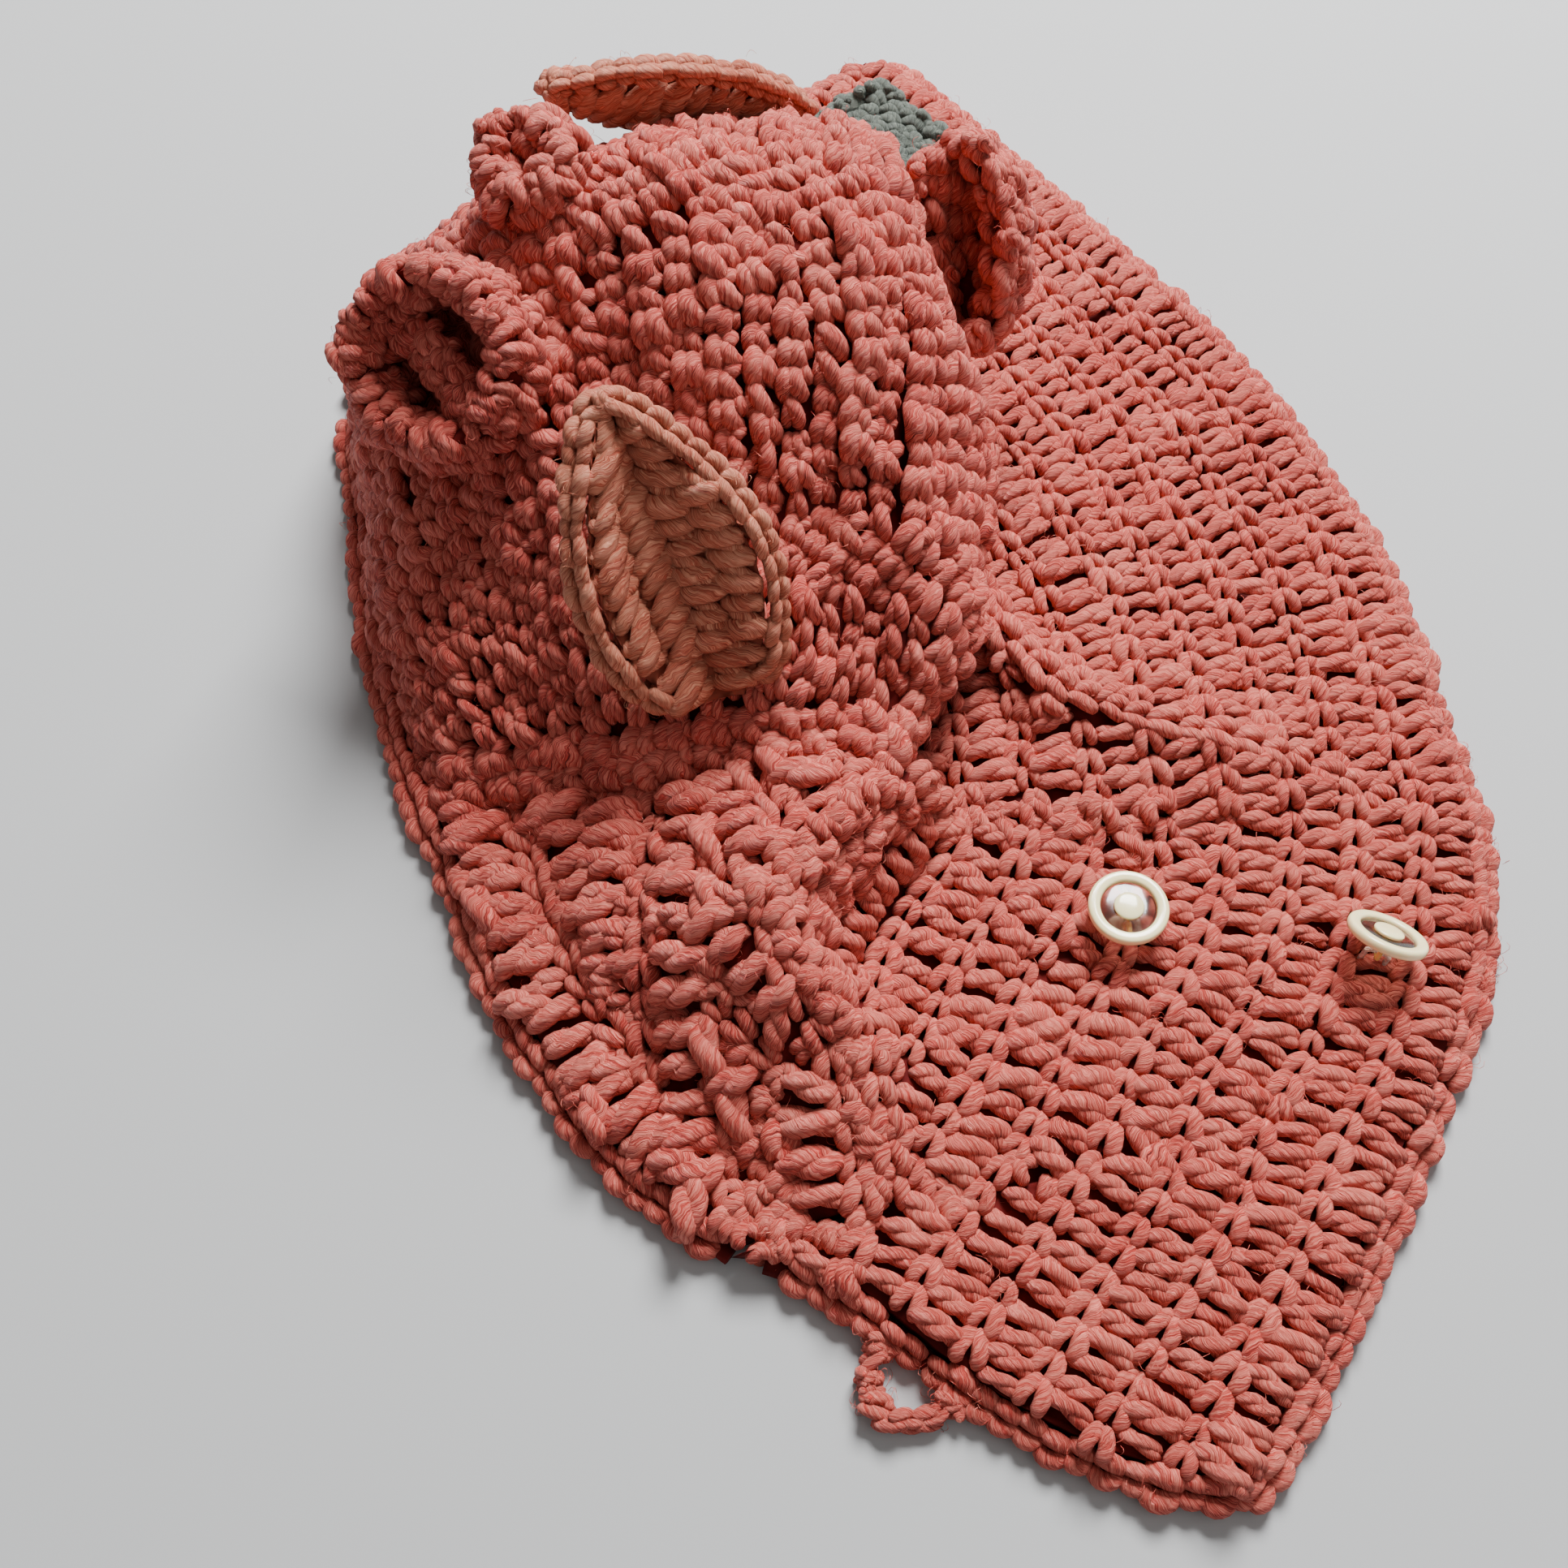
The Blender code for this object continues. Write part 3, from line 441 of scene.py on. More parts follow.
class Places:
    """Points to set stitches on, gathered row by row."""

    def __init__(self):
        self.kinds = {}
        self.covered = [np.zeros((0, 3))]

    def add(self, kind, points, row, across, normal, size, tint=None, spin=0.0, jitter=0.10, lean=0.16, fuzz=0.3):
        """size is one (x, y, z) scale or one for each point; fuzz is the share that also gets loose fibres."""
        count = len(points)
        if not count:
            return
        loose = rng.random(count) < fuzz
        if loose.any():
            self.add("fuzz", points[loose], row[loose], across[loose], normal[loose], (1, 1, 1), lean=1.2, fuzz=0)
        if spin:
            row, across = (row * math.cos(spin) + across * math.sin(spin),
                           across * math.cos(spin) - row * math.sin(spin))
        yaw = rng.normal(0, lean, count)[:, None]
        roll = rng.normal(0, lean * 0.8, count)[:, None]
        row, across = row * np.cos(yaw) + across * np.sin(yaw), across * np.cos(yaw) - row * np.sin(yaw)
        across, normal = across * np.cos(roll) + normal * np.sin(roll), normal * np.cos(roll) - across * np.sin(roll)
        size = np.broadcast_to(np.asarray(size, float), (count, 3)) * rng.normal(1, jitter, (count, 1)).clip(0.75, 1.3)
        shift = rng.normal(0, 0.35 * MM, (count, 3))
        reach = 3.4 * MM if kind.startswith("bar") else 0.0
        if kind != "fuzz":
            self.covered += [points, points + across * reach, points - across * reach]
        tint = rng.uniform(0, 1, count) if tint is None else np.broadcast_to(tint, count)
        held = self.kinds.setdefault(kind, [[], [], [], []])
        for pile, values in zip(held, (points + shift, angles(row, across, normal), size, tint)):
            pile.append(values)


def stitch_tree():
    """Set a stitch on each point of a mesh, turned and sized by its attributes, as real geometry."""
    tree = bpy.data.node_groups.new("crochet stitches", "GeometryNodeTree")
    face = tree.interface
    face.new_socket("Points", in_out="INPUT", socket_type="NodeSocketGeometry")
    face.new_socket("Stitch", in_out="INPUT", socket_type="NodeSocketObject")
    face.new_socket("Yarn", in_out="INPUT", socket_type="NodeSocketMaterial")
    puff = face.new_socket("Puff", in_out="INPUT", socket_type="NodeSocketFloat")
    puff.default_value = 1.0
    seed = face.new_socket("Seed", in_out="INPUT", socket_type="NodeSocketInt")
    seed.default_value = SEED
    face.new_socket("Stitches", in_out="OUTPUT", socket_type="NodeSocketGeometry")
    new, link = tree.nodes.new, tree.links.new
    source, result = new("NodeGroupInput"), new("NodeGroupOutput")
    stitch = new("GeometryNodeObjectInfo")
    link(source.outputs["Stitch"], stitch.inputs["Object"])
    turn = new("GeometryNodeInputNamedAttribute")
    turn.data_type = "FLOAT_VECTOR"
    turn.inputs["Name"].default_value = "turn"
    size = new("GeometryNodeInputNamedAttribute")
    size.data_type = "FLOAT_VECTOR"
    size.inputs["Name"].default_value = "size"
    uneven = new("FunctionNodeRandomValue")
    uneven.data_type = "FLOAT"
    uneven.inputs[2].default_value = 0.93
    uneven.inputs[3].default_value = 1.07
    link(source.outputs["Seed"], uneven.inputs["Seed"])
    puffed = new("ShaderNodeMath")
    puffed.operation = "MULTIPLY"
    link(source.outputs["Puff"], puffed.inputs[0])
    link(uneven.outputs[1], puffed.inputs[1])
    scaled = new("ShaderNodeVectorMath")
    scaled.operation = "SCALE"
    link(size.outputs["Attribute"], scaled.inputs[0])
    link(puffed.outputs[0], scaled.inputs["Scale"])
    turned = new("FunctionNodeEulerToRotation")
    link(turn.outputs["Attribute"], turned.inputs[0])
    placed = new("GeometryNodeInstanceOnPoints")
    link(source.outputs["Points"], placed.inputs["Points"])
    link(stitch.outputs["Geometry"], placed.inputs["Instance"])
    link(turned.outputs[0], placed.inputs["Rotation"])
    link(scaled.outputs[0], placed.inputs["Scale"])
    real = new("GeometryNodeRealizeInstances")
    link(placed.outputs[0], real.inputs[0])
    finish = new("GeometryNodeSetMaterial")
    link(real.outputs[0], finish.inputs["Geometry"])
    link(source.outputs["Yarn"], finish.inputs["Material"])
    link(finish.outputs[0], result.inputs[0])
    return tree


def socket_id(tree, name):
    return next(item.identifier for item in tree.interface.items_tree
                if item.item_type == "SOCKET" and item.in_out == "INPUT" and item.name == name)


def knit(name, places, stitches, tree, yarn):
    """One plain mesh of all the stitches of a piece."""
    made = []
    for kind, piles in places.kinds.items():
        points, turns, sizes, tints = (np.concatenate(pile) for pile in piles)
        mesh = bpy.data.meshes.new(f"{name} {kind}")
        mesh.from_pydata([tuple(p) for p in points], [], [])
        for label, kind_of, values in (("turn", "FLOAT_VECTOR", turns), ("size", "FLOAT_VECTOR", sizes)):
            mesh.attributes.new(label, kind_of, "POINT").data.foreach_set("vector", values.ravel())
        mesh.attributes.new("tint", "FLOAT", "POINT").data.foreach_set("value", tints)
        carrier = bpy.data.objects.new(f"{name} {kind}", mesh)
        bpy.context.scene.collection.objects.link(carrier)
        modifier = carrier.modifiers.new("stitches", "NODES")
        modifier.node_group = tree
        modifier[socket_id(tree, "Stitch")] = stitches[kind]
        modifier[socket_id(tree, "Yarn")] = yarn
        modifier[socket_id(tree, "Puff")] = 1.0
        modifier[socket_id(tree, "Seed")] = SEED + len(made)
        bpy.context.view_layer.update()
        evaluated = carrier.evaluated_get(bpy.context.evaluated_depsgraph_get())
        real = bpy.data.meshes.new_from_object(evaluated)
        for spare in ("turn", "size"):
            if spare in real.attributes:
                real.attributes.remove(real.attributes[spare])
        made.append(bpy.data.objects.new(f"{name} {kind} real", real))
        bpy.context.scene.collection.objects.link(made[-1])
        bpy.data.objects.remove(carrier)
        bpy.data.meshes.remove(mesh)
    piece = join(name, made)
    lie_on_floor(piece.data)
    return piece


def lie_on_floor(mesh, soft=1.2 * MM):
    """Press what would be under the floor flat onto it."""
    flat = np.empty(len(mesh.vertices) * 3)
    mesh.vertices.foreach_get("co", flat)
    spots = flat.reshape(-1, 3)
    low = spots[:, 2] < soft
    spots[low, 2] = soft * np.exp((spots[low, 2] - soft) / soft * 0.8) + 0.02 * MM
    mesh.vertices.foreach_set("co", spots.ravel())
    mesh.update()


def join(name, objects):
    """Several mesh objects as one."""
    with bpy.context.temp_override(active_object=objects[0], selected_editable_objects=objects,
                                   selected_objects=objects, object=objects[0]):
        if len(objects) > 1:
            bpy.ops.object.join()
    joined = objects[0]
    joined.name = name
    joined.data.name = name
    return joined


# ---- materials ------------------------------------------------------------------------------------------------------

def node(tree, kind, **values):
    made = tree.nodes.new(kind)
    for name, value in values.items():
        setattr(made, name, value)
    return made


def yarn_group():
    """Fibres, plies and uneven dye on a strand, with painted shade in the ply grooves and painted highlights on the
    raised fibres. Its UV runs along the strand, in centimetres, and round it.
    """
    group = bpy.data.node_groups.new("yarn fibres", "ShaderNodeTree")
    face = group.interface
    for name, kind, value in (("Dark", "NodeSocketColor", (0.2, 0.02, 0.02, 1)), ("Mid", "NodeSocketColor", None),
                              ("Light", "NodeSocketColor", None), ("Twist", "NodeSocketFloat", 0.5),
                              ("Fibres", "NodeSocketFloat", 1.0)):
        socket = face.new_socket(name, in_out="INPUT", socket_type=kind)
        if value is not None:
            socket.default_value = value
    face.new_socket("Color", in_out="OUTPUT", socket_type="NodeSocketColor")
    face.new_socket("Roughness", in_out="OUTPUT", socket_type="NodeSocketFloat")
    face.new_socket("Height", in_out="OUTPUT", socket_type="NodeSocketFloat")
    link = group.links.new
    source, result = node(group, "NodeGroupInput"), node(group, "NodeGroupOutput")
    uv = node(group, "ShaderNodeUVMap", uv_map="strand")
    tint = node(group, "ShaderNodeAttribute", attribute_name="tint")
    parts = node(group, "ShaderNodeSeparateXYZ")
    link(uv.outputs[0], parts.inputs[0])
    # The fibres lean across the strand: turns round it grow with the length along it.
    slant = node(group, "ShaderNodeMath", operation="MULTIPLY_ADD")
    link(parts.outputs[0], slant.inputs[0])
    link(source.outputs["Twist"], slant.inputs[1])
    link(parts.outputs[1], slant.inputs[2])
    # Plies: five grooves round the strand.
    turns = node(group, "ShaderNodeMath", operation="MULTIPLY")
    turns.inputs[1].default_value = 5 * 2 * math.pi
    wobble = node(group, "ShaderNodeTexNoise")
    wobble.inputs["Scale"].default_value = 170.0
    wobble.inputs["Detail"].default_value = 2.0
    where = node(group, "ShaderNodeTexCoord")
    link(where.outputs["Object"], wobble.inputs["Vector"])
    drift = node(group, "ShaderNodeMath", operation="MULTIPLY_ADD")
    drift.inputs[1].default_value = 0.42
    link(wobble.outputs["Fac"], drift.inputs[0])
    link(slant.outputs[0], drift.inputs[2])
    link(drift.outputs[0], turns.inputs[0])
    wave = node(group, "ShaderNodeMath", operation="COSINE")
    link(turns.outputs[0], wave.inputs[0])
    ply = node(group, "ShaderNodeMath", operation="MULTIPLY_ADD")
    ply.inputs[1].default_value = 0.5
    ply.inputs[2].default_value = 0.5
    link(wave.outputs[0], ply.inputs[0])
    # Fibres: noise drawn out along the slant.
    circle = node(group, "ShaderNodeMath", operation="MULTIPLY")
    circle.inputs[1].default_value = 2 * math.pi
    link(drift.outputs[0], circle.inputs[0])
    cosine, sine = (node(group, "ShaderNodeMath", operation=o) for o in ("COSINE", "SINE"))
    link(circle.outputs[0], cosine.inputs[0])
    link(circle.outputs[0], sine.inputs[0])
    along = node(group, "ShaderNodeMath", operation="MULTIPLY_ADD")
    link(parts.outputs[0], along.inputs[0])
    along.inputs[1].default_value = 0.35
    apart = node(group, "ShaderNodeMath", operation="MULTIPLY")
    apart.inputs[1].default_value = 37.0
    link(tint.outputs["Fac"], apart.inputs[0])
    link(apart.outputs[0], along.inputs[2])
    place = node(group, "ShaderNodeCombineXYZ")
    link(cosine.outputs[0], place.inputs[0])
    link(sine.outputs[0], place.inputs[1])
    link(along.outputs[0], place.inputs[2])
    fibre = node(group, "ShaderNodeTexNoise", noise_dimensions="3D")
    fibre.inputs["Scale"].default_value = 7.5
    fibre.inputs["Detail"].default_value = 4.0
    fibre.inputs["Roughness"].default_value = 0.7
    link(place.outputs[0], fibre.inputs["Vector"])
    coords = node(group, "ShaderNodeTexCoord")
    dye = node(group, "ShaderNodeTexNoise")
    dye.inputs["Scale"].default_value = 22.0
    dye.inputs["Detail"].default_value = 2.0
    link(coords.outputs["Object"], dye.inputs["Vector"])
    # Colour: painted shade, dark in the ply grooves, and painted highlight, light on the raised drawn-out fibres, as
    # the colour follows the same relief as the bump; the fibre streaks are partly the yarn's own, and the dye noise
    # and the stitch tint are its own uneven colour.
    shade = node(group, "ShaderNodeMath", operation="MULTIPLY_ADD")
    shade.inputs[1].default_value = 0.24
    link(ply.outputs[0], shade.inputs[0])
    uneven = node(group, "ShaderNodeMath", operation="MULTIPLY_ADD")
    uneven.inputs[1].default_value = 3.8
    uneven.inputs[2].default_value = -1.5
    link(fibre.outputs["Fac"], uneven.inputs[0])
    strong = node(group, "ShaderNodeMath", operation="MULTIPLY")
    link(uneven.outputs[0], strong.inputs[0])
    link(source.outputs["Fibres"], strong.inputs[1])
    link(strong.outputs[0], shade.inputs[2])
    own = node(group, "ShaderNodeMath", operation="MULTIPLY_ADD")
    own.inputs[1].default_value = 0.16
    own.inputs[2].default_value = 0.02
    link(tint.outputs["Fac"], own.inputs[0])
    total = node(group, "ShaderNodeMath", operation="ADD")
    link(shade.outputs[0], total.inputs[0])
    link(own.outputs[0], total.inputs[1])
    dyed = node(group, "ShaderNodeMath", operation="MULTIPLY_ADD")
    dyed.inputs[1].default_value = 0.34
    link(dye.outputs["Fac"], dyed.inputs[0])
    link(total.outputs[0], dyed.inputs[2])
    # The ramp runs from the dark colour, painted shade, through the yarn's own middle colour to the light colour,
    # painted highlight.
    low = node(group, "ShaderNodeMapRange")
    low.inputs["From Min"].default_value = 0.02
    low.inputs["From Max"].default_value = 0.55
    link(dyed.outputs[0], low.inputs["Value"])
    high = node(group, "ShaderNodeMapRange")
    high.inputs["From Min"].default_value = 0.55
    high.inputs["From Max"].default_value = 1.15
    link(dyed.outputs[0], high.inputs["Value"])
    first = node(group, "ShaderNodeMix", data_type="RGBA")
    link(low.outputs["Result"], first.inputs["Factor"])
    link(source.outputs["Dark"], first.inputs["A"])
    link(source.outputs["Mid"], first.inputs["B"])
    second = node(group, "ShaderNodeMix", data_type="RGBA")
    link(high.outputs["Result"], second.inputs["Factor"])
    link(first.outputs["Result"], second.inputs["A"])
    link(source.outputs["Light"], second.inputs["B"])
    link(second.outputs["Result"], result.inputs["Color"])
    rough = node(group, "ShaderNodeMath", operation="MULTIPLY_ADD")
    rough.inputs[1].default_value = -0.22
    rough.inputs[2].default_value = 0.68
    link(fibre.outputs["Fac"], rough.inputs[0])
    link(rough.outputs[0], result.inputs["Roughness"])
    rise = node(group, "ShaderNodeMath", operation="MULTIPLY_ADD")
    rise.inputs[1].default_value = 0.45
    link(ply.outputs[0], rise.inputs[0])
    link(strong.outputs[0], rise.inputs[2])
    link(rise.outputs[0], result.inputs["Height"])
    return group


def linear(red, green, blue):
    """A colour given in 0 to 255 display values."""
    return tuple((c / 255 / 12.92 if c <= 10 else ((c / 255 + 0.055) / 1.055) ** 2.4) for c in (red, green, blue)) + (1,)


def yarn_material(name, group, dark, mid, light, twist=1.15, sheen=0.12, bump=0.85, tint=(1.0, 0.35, 0.25, 1.0)):
    material = bpy.data.materials.new(name)
    material.use_nodes = True
    tree = material.node_tree
    surface = tree.nodes["Principled BSDF"]
    fibres = node(tree, "ShaderNodeGroup", node_tree=group)
    for label, colour in (("Dark", dark), ("Mid", mid), ("Light", light)):
        fibres.inputs[label].default_value = linear(*colour)
    fibres.inputs["Twist"].default_value = twist
    relief = node(tree, "ShaderNodeBump")
    relief.inputs["Strength"].default_value = bump
    relief.inputs["Distance"].default_value = 0.45 * MM
    tree.links.new(fibres.outputs["Color"], surface.inputs["Base Color"])
    tree.links.new(fibres.outputs["Roughness"], surface.inputs["Roughness"])
    tree.links.new(fibres.outputs["Height"], relief.inputs["Height"])
    tree.links.new(relief.outputs["Normal"], surface.inputs["Normal"])
    surface.inputs["Specular IOR Level"].default_value = 0.38
    surface.inputs["Sheen Weight"].default_value = sheen
    surface.inputs["Sheen Roughness"].default_value = 0.45
    surface.inputs["Sheen Tint"].default_value = tint
    return material


def cloth_material(name, dark, light):
    """The yarn deep between the stitches, coloured darker than the stitches as painted shade; each loop is lighter in
    its raised middle and darker where the loops meet, painted shade as well.
    """
    material = bpy.data.materials.new(name)
    material.use_nodes = True
    tree = material.node_tree
    surface = tree.nodes["Principled BSDF"]
    coords = node(tree, "ShaderNodeTexCoord")
    loops = node(tree, "ShaderNodeTexVoronoi", feature="SMOOTH_F1")
    loops.inputs["Scale"].default_value = 230.0
    tree.links.new(coords.outputs["Object"], loops.inputs["Vector"])
    # Painted shade: lighter in the middle of each loop, darker where the loops meet.
    blend = node(tree, "ShaderNodeMix", data_type="RGBA")
    blend.inputs["A"].default_value = linear(*light)
    blend.inputs["B"].default_value = linear(*dark)
    tree.links.new(loops.outputs["Distance"], blend.inputs["Factor"])
    relief = node(tree, "ShaderNodeBump", invert=True)
    relief.inputs["Strength"].default_value = 0.9
    relief.inputs["Distance"].default_value = 1.6 * MM
    tree.links.new(loops.outputs["Distance"], relief.inputs["Height"])
    tree.links.new(blend.outputs["Result"], surface.inputs["Base Color"])
    tree.links.new(relief.outputs["Normal"], surface.inputs["Normal"])
    surface.inputs["Roughness"].default_value = 0.85
    surface.inputs["Specular IOR Level"].default_value = 0.2
    return material


def resin_material(name, base, through, roughness=0.16, transmission=0.0, alpha=None):
    """Moulded resin with faint clouding."""
    material = bpy.data.materials.new(name)
    material.use_nodes = True
    tree = material.node_tree
    surface = tree.nodes["Principled BSDF"]
    coords = node(tree, "ShaderNodeTexCoord")
    cloud = node(tree, "ShaderNodeTexNoise")
    cloud.inputs["Scale"].default_value = 260.0
    cloud.inputs["Detail"].default_value = 3.0
    tree.links.new(coords.outputs["Object"], cloud.inputs["Vector"])
    blend = node(tree, "ShaderNodeMix", data_type="RGBA")
    blend.inputs["A"].default_value = linear(*base)
    blend.inputs["B"].default_value = linear(*through)
    tree.links.new(cloud.outputs["Fac"], blend.inputs["Factor"])
    tree.links.new(blend.outputs["Result"], surface.inputs["Base Color"])
    surface.inputs["Roughness"].default_value = roughness
    surface.inputs["Transmission Weight"].default_value = transmission
    surface.inputs["IOR"].default_value = 1.49
    surface.inputs["Coat Weight"].default_value = 0.3
    surface.inputs["Coat Roughness"].default_value = 0.08
    if not transmission:
        surface.inputs["Subsurface Weight"].default_value = 0.25
        surface.inputs["Subsurface Scale"].default_value = 0.003
    return material


# ---- cloth under the stitches ---------------------------------------------------------------------------------------

def under_cloth(name, node_names, sink, material, lift=None, flat=False):
    """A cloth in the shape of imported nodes, drawn in under the stitches."""
    bm = bmesh.new()
    for node_name in node_names:
        bm.from_mesh(nodes[node_name].data)
    bmesh.ops.remove_doubles(bm, verts=bm.verts[:], dist=0.00002)
    bmesh.ops.subdivide_edges(bm, edges=[e for e in bm.edges if e.calc_length() > 0.007], cuts=2,
                              use_grid_fill=True)
    bmesh.ops.triangulate(bm, faces=bm.faces[:])
    bm.normal_update()
    floor = min(v.co.z for v in bm.verts)
    moves = {}
    for v in bm.verts:
        foot = min(max((v.co.z - floor) / (14 * MM), 0.0), 1.0) if "hood" in name else 1.0
        moves[v] = v.co - Vector((0, 0, v.normal.z * sink)) if flat else v.co - v.normal * sink * foot
    for v, spot in moves.items():
        spot.z = max(spot.z, floor)
        v.co = spot
    if lift is not None:
        xy = np.array([(v.co.x, v.co.y) for v in bm.verts])
        extra = lift(xy[:, 0], xy[:, 1])
        for v, more in zip(bm.verts, extra):
            v.co.z += more if v.co.z > floor + sink else 0.0
    for face in bm.faces:
        face.smooth = True
    mesh = bpy.data.meshes.new(name)
    bm.to_mesh(mesh)
    bm.free()
    mesh.materials.append(material)
    made = bpy.data.objects.new(name, mesh)
    bpy.context.scene.collection.objects.link(made)
    return made


def bridge_cloth(joint, material):
    """A narrow cloth under the line that the front corner folds about."""
    axis, pivot = Vector(joint["axis"]), Vector(joint["pos_m"])
    low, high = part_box("front_corner")
    along = axis if axis.x > 0 else -axis
    side = Vector((-along.y, along.x, 0))
    bm = bmesh.new()
    bmesh.ops.create_cube(bm, size=1.0)
    bmesh.ops.subdivide_edges(bm, edges=bm.edges[:], cuts=11, use_grid_fill=True)
    start, end = (low.x + 30 * MM - pivot.x) / along.x, (high.x - 10 * MM - pivot.x) / along.x
    for v in bm.verts:
        spot = pivot + along * (start + (end - start) * (v.co.x + 0.5)) + side * v.co.y * 16 * MM
        v.co = (spot.x, spot.y, 4.6 * MM + v.co.z * 2.4 * MM)
    bmesh.ops.recalc_face_normals(bm, faces=bm.faces[:])
    mesh = bpy.data.meshes.new("fold_cloth")
    bm.to_mesh(mesh)
    bm.free()
    mesh.materials.append(material)
    made = bpy.data.objects.new("fold_cloth", mesh)
    bpy.context.scene.collection.objects.link(made)
    return made


def cloth_area(piece):
    """Half the area of a closed cloth: one of its two faces."""
    return sum(p.area for p in piece.data.polygons) / 2


def declare_cloth(piece):
    low, high = (np.array(c) for c in zip(*[(min(a), max(a)) for a in zip(*[v.co for v in piece.data.vertices])]))
    area = cloth_area(piece)
    width = high[0] - low[0]
    length = max(high[1] - low[1], area / width)
    width = max(width, area / length)


# ---- the cape -------------------------------------------------------------------------------------------------------

def on_panel(tree, x, y):
    """Which plan points lie over a node."""
    return np.array([drop(tree, a, b) is not None for a, b in zip(x, y)], bool)


def fill_gaps(places, node_names, others, wave, clear, sink=1.2 * MM, seed=9, size=(0.95, 0.95, 0.95)):
    """Lumps on the upper faces of nodes wherever rows have left bare cloth."""
    held = np.concatenate([c for group in others for c in group.covered])
    search = KDTree(len(held))
    for k, spot in enumerate(held):
        search.insert(spot, k)
    search.balance()
    local = np.random.default_rng(seed)
    found, normals_found = [], []
    for node_name in node_names:
        spots, normals = scattered(node_name, local, 9000)
        up = normals[:, 2] > 0.05
        spots, normals = spots[up], normals[up]
        spots[:, 2] += wave(spots[:, 0], spots[:, 1])
        for spot, normal in zip(spots, normals):
            if search.find(spot)[2] < clear:
                continue
            if any(abs(spot[0] - f[0]) < clear and np.linalg.norm(spot - f) < clear for f in found):
                continue
            found.append(spot)
            normals_found.append(normal)
    if not found:
        return
    here, normal = np.array(found), np.array(normals_found)
    row = np.stack([-normal[:, 1] + 0.3, normal[:, 0] + 0.8, np.zeros(len(here))], 1)
    row = unit(row - normal * (row * normal).sum(1, keepdims=True))
    mixed = local.random(len(here)) < 0.5
    for kind, chosen in (("lump", mixed), ("lump_turned", ~mixed)):
        places.add(kind, here[chosen] - normal[chosen] * sink, row[chosen], np.cross(normal, row)[chosen],
                   normal[chosen], size, lean=0.35)


def scattered(node_name, local, count):
    """(points, normals) spread evenly at random over a node's faces."""
    mesh = nodes[node_name].data
    mesh.calc_loop_triangles()
    corners = np.array([v.co for v in mesh.vertices])
    faces = np.array([t.vertices for t in mesh.loop_triangles])
    a, b, c = (corners[faces[:, k]] for k in range(3))
    cross = np.cross(b - a, c - a)
    area = np.linalg.norm(cross, axis=1)
    chosen = local.choice(len(faces), count, p=area / area.sum())
    u, v = local.random((2, count))
    swap = u + v > 1
    u, v = np.where(swap, 1 - u, u), np.where(swap, 1 - v, v)
    return a[chosen] + (b - a)[chosen] * u[:, None] + (c - a)[chosen] * v[:, None], unit(cross[chosen])


def bar_step(x, y):
    """Spacing of long stitches: stretched in the middle of the front, closer elsewhere."""
    stretch = np.exp(-((x - 0.040) ** 2 + (y + 0.130) ** 2) / 0.055 ** 2)
    return (5.7 + 3.0 * stretch) * MM


def walk(line, step_of):
    """Places along a plan line at a spacing that changes with place: (points, headings)."""
    fine = even_line(line, 1 * MM)
    ahead = unit(np.gradient(fine, axis=0))
    steps = step_of(fine[:, 0], fine[:, 1])
    count = np.concatenate([[0], np.cumsum(1 * MM / steps)])[:len(fine)]
    wanted = np.arange(0.5, count[-1], 1.0)
    index = np.clip(np.searchsorted(count, wanted), 0, len(fine) - 1)
    return fine[index], ahead[index], steps[index]


RIDGE = np.array([(0.010, -0.062), (0.003, -0.072), (-0.016, -0.092), (-0.028, -0.111), (-0.025, -0.124),
                  (-0.012, -0.143), (-0.005, -0.167), (-0.003, -0.186)])  # plan points along the front's high fold


def away_from(line, x, y):
    """How far plan points lie from a line."""
    fine = even_line(line[:, :2], 3 * MM)
    return np.hypot(x[:, None] - fine[None, :, 0], y[:, None] - fine[None, :, 1]).min(1)


class Taken:
    """Plan points that already hold a stitch."""

    def __init__(self):
        self.points = np.zeros((0, 2))

    def free(self, x, y, apart):
        new = np.stack([x, y], 1)
        keep = np.ones(len(new), bool)
        for start in range(0, len(new), 200):
            part = new[start:start + 200]
            if len(self.points):
                keep[start:start + 200] = (np.hypot(part[:, None, 0] - self.points[None, :, 0],
                                                    part[:, None, 1] - self.points[None, :, 1]).min(1) > apart)
        return keep

    def take(self, x, y):
        self.points = np.concatenate([self.points, np.stack([x, y], 1)])


def lay_strip(plan, line, rows, places, tree, taken):
    """Braids side by side along a plan line."""
    for shift in rows:
        points, heading, _ = walk(smooth_rows(moved_in(even_line(line, 4 * MM), shift), 2),
                                  lambda x, y: np.full_like(x, 8.0 * MM))
        keep = on_panel(tree, points[:, 0], points[:, 1])
        here, along, across, normal = plan.frames(points[keep, 0], points[keep, 1], heading[keep])
        places.add("vee", here - normal * 1.2 * MM, along, across, normal, (1.05, 1.0, 1.1), lean=0.12)
        taken.take(points[keep, 0], points[keep, 1])


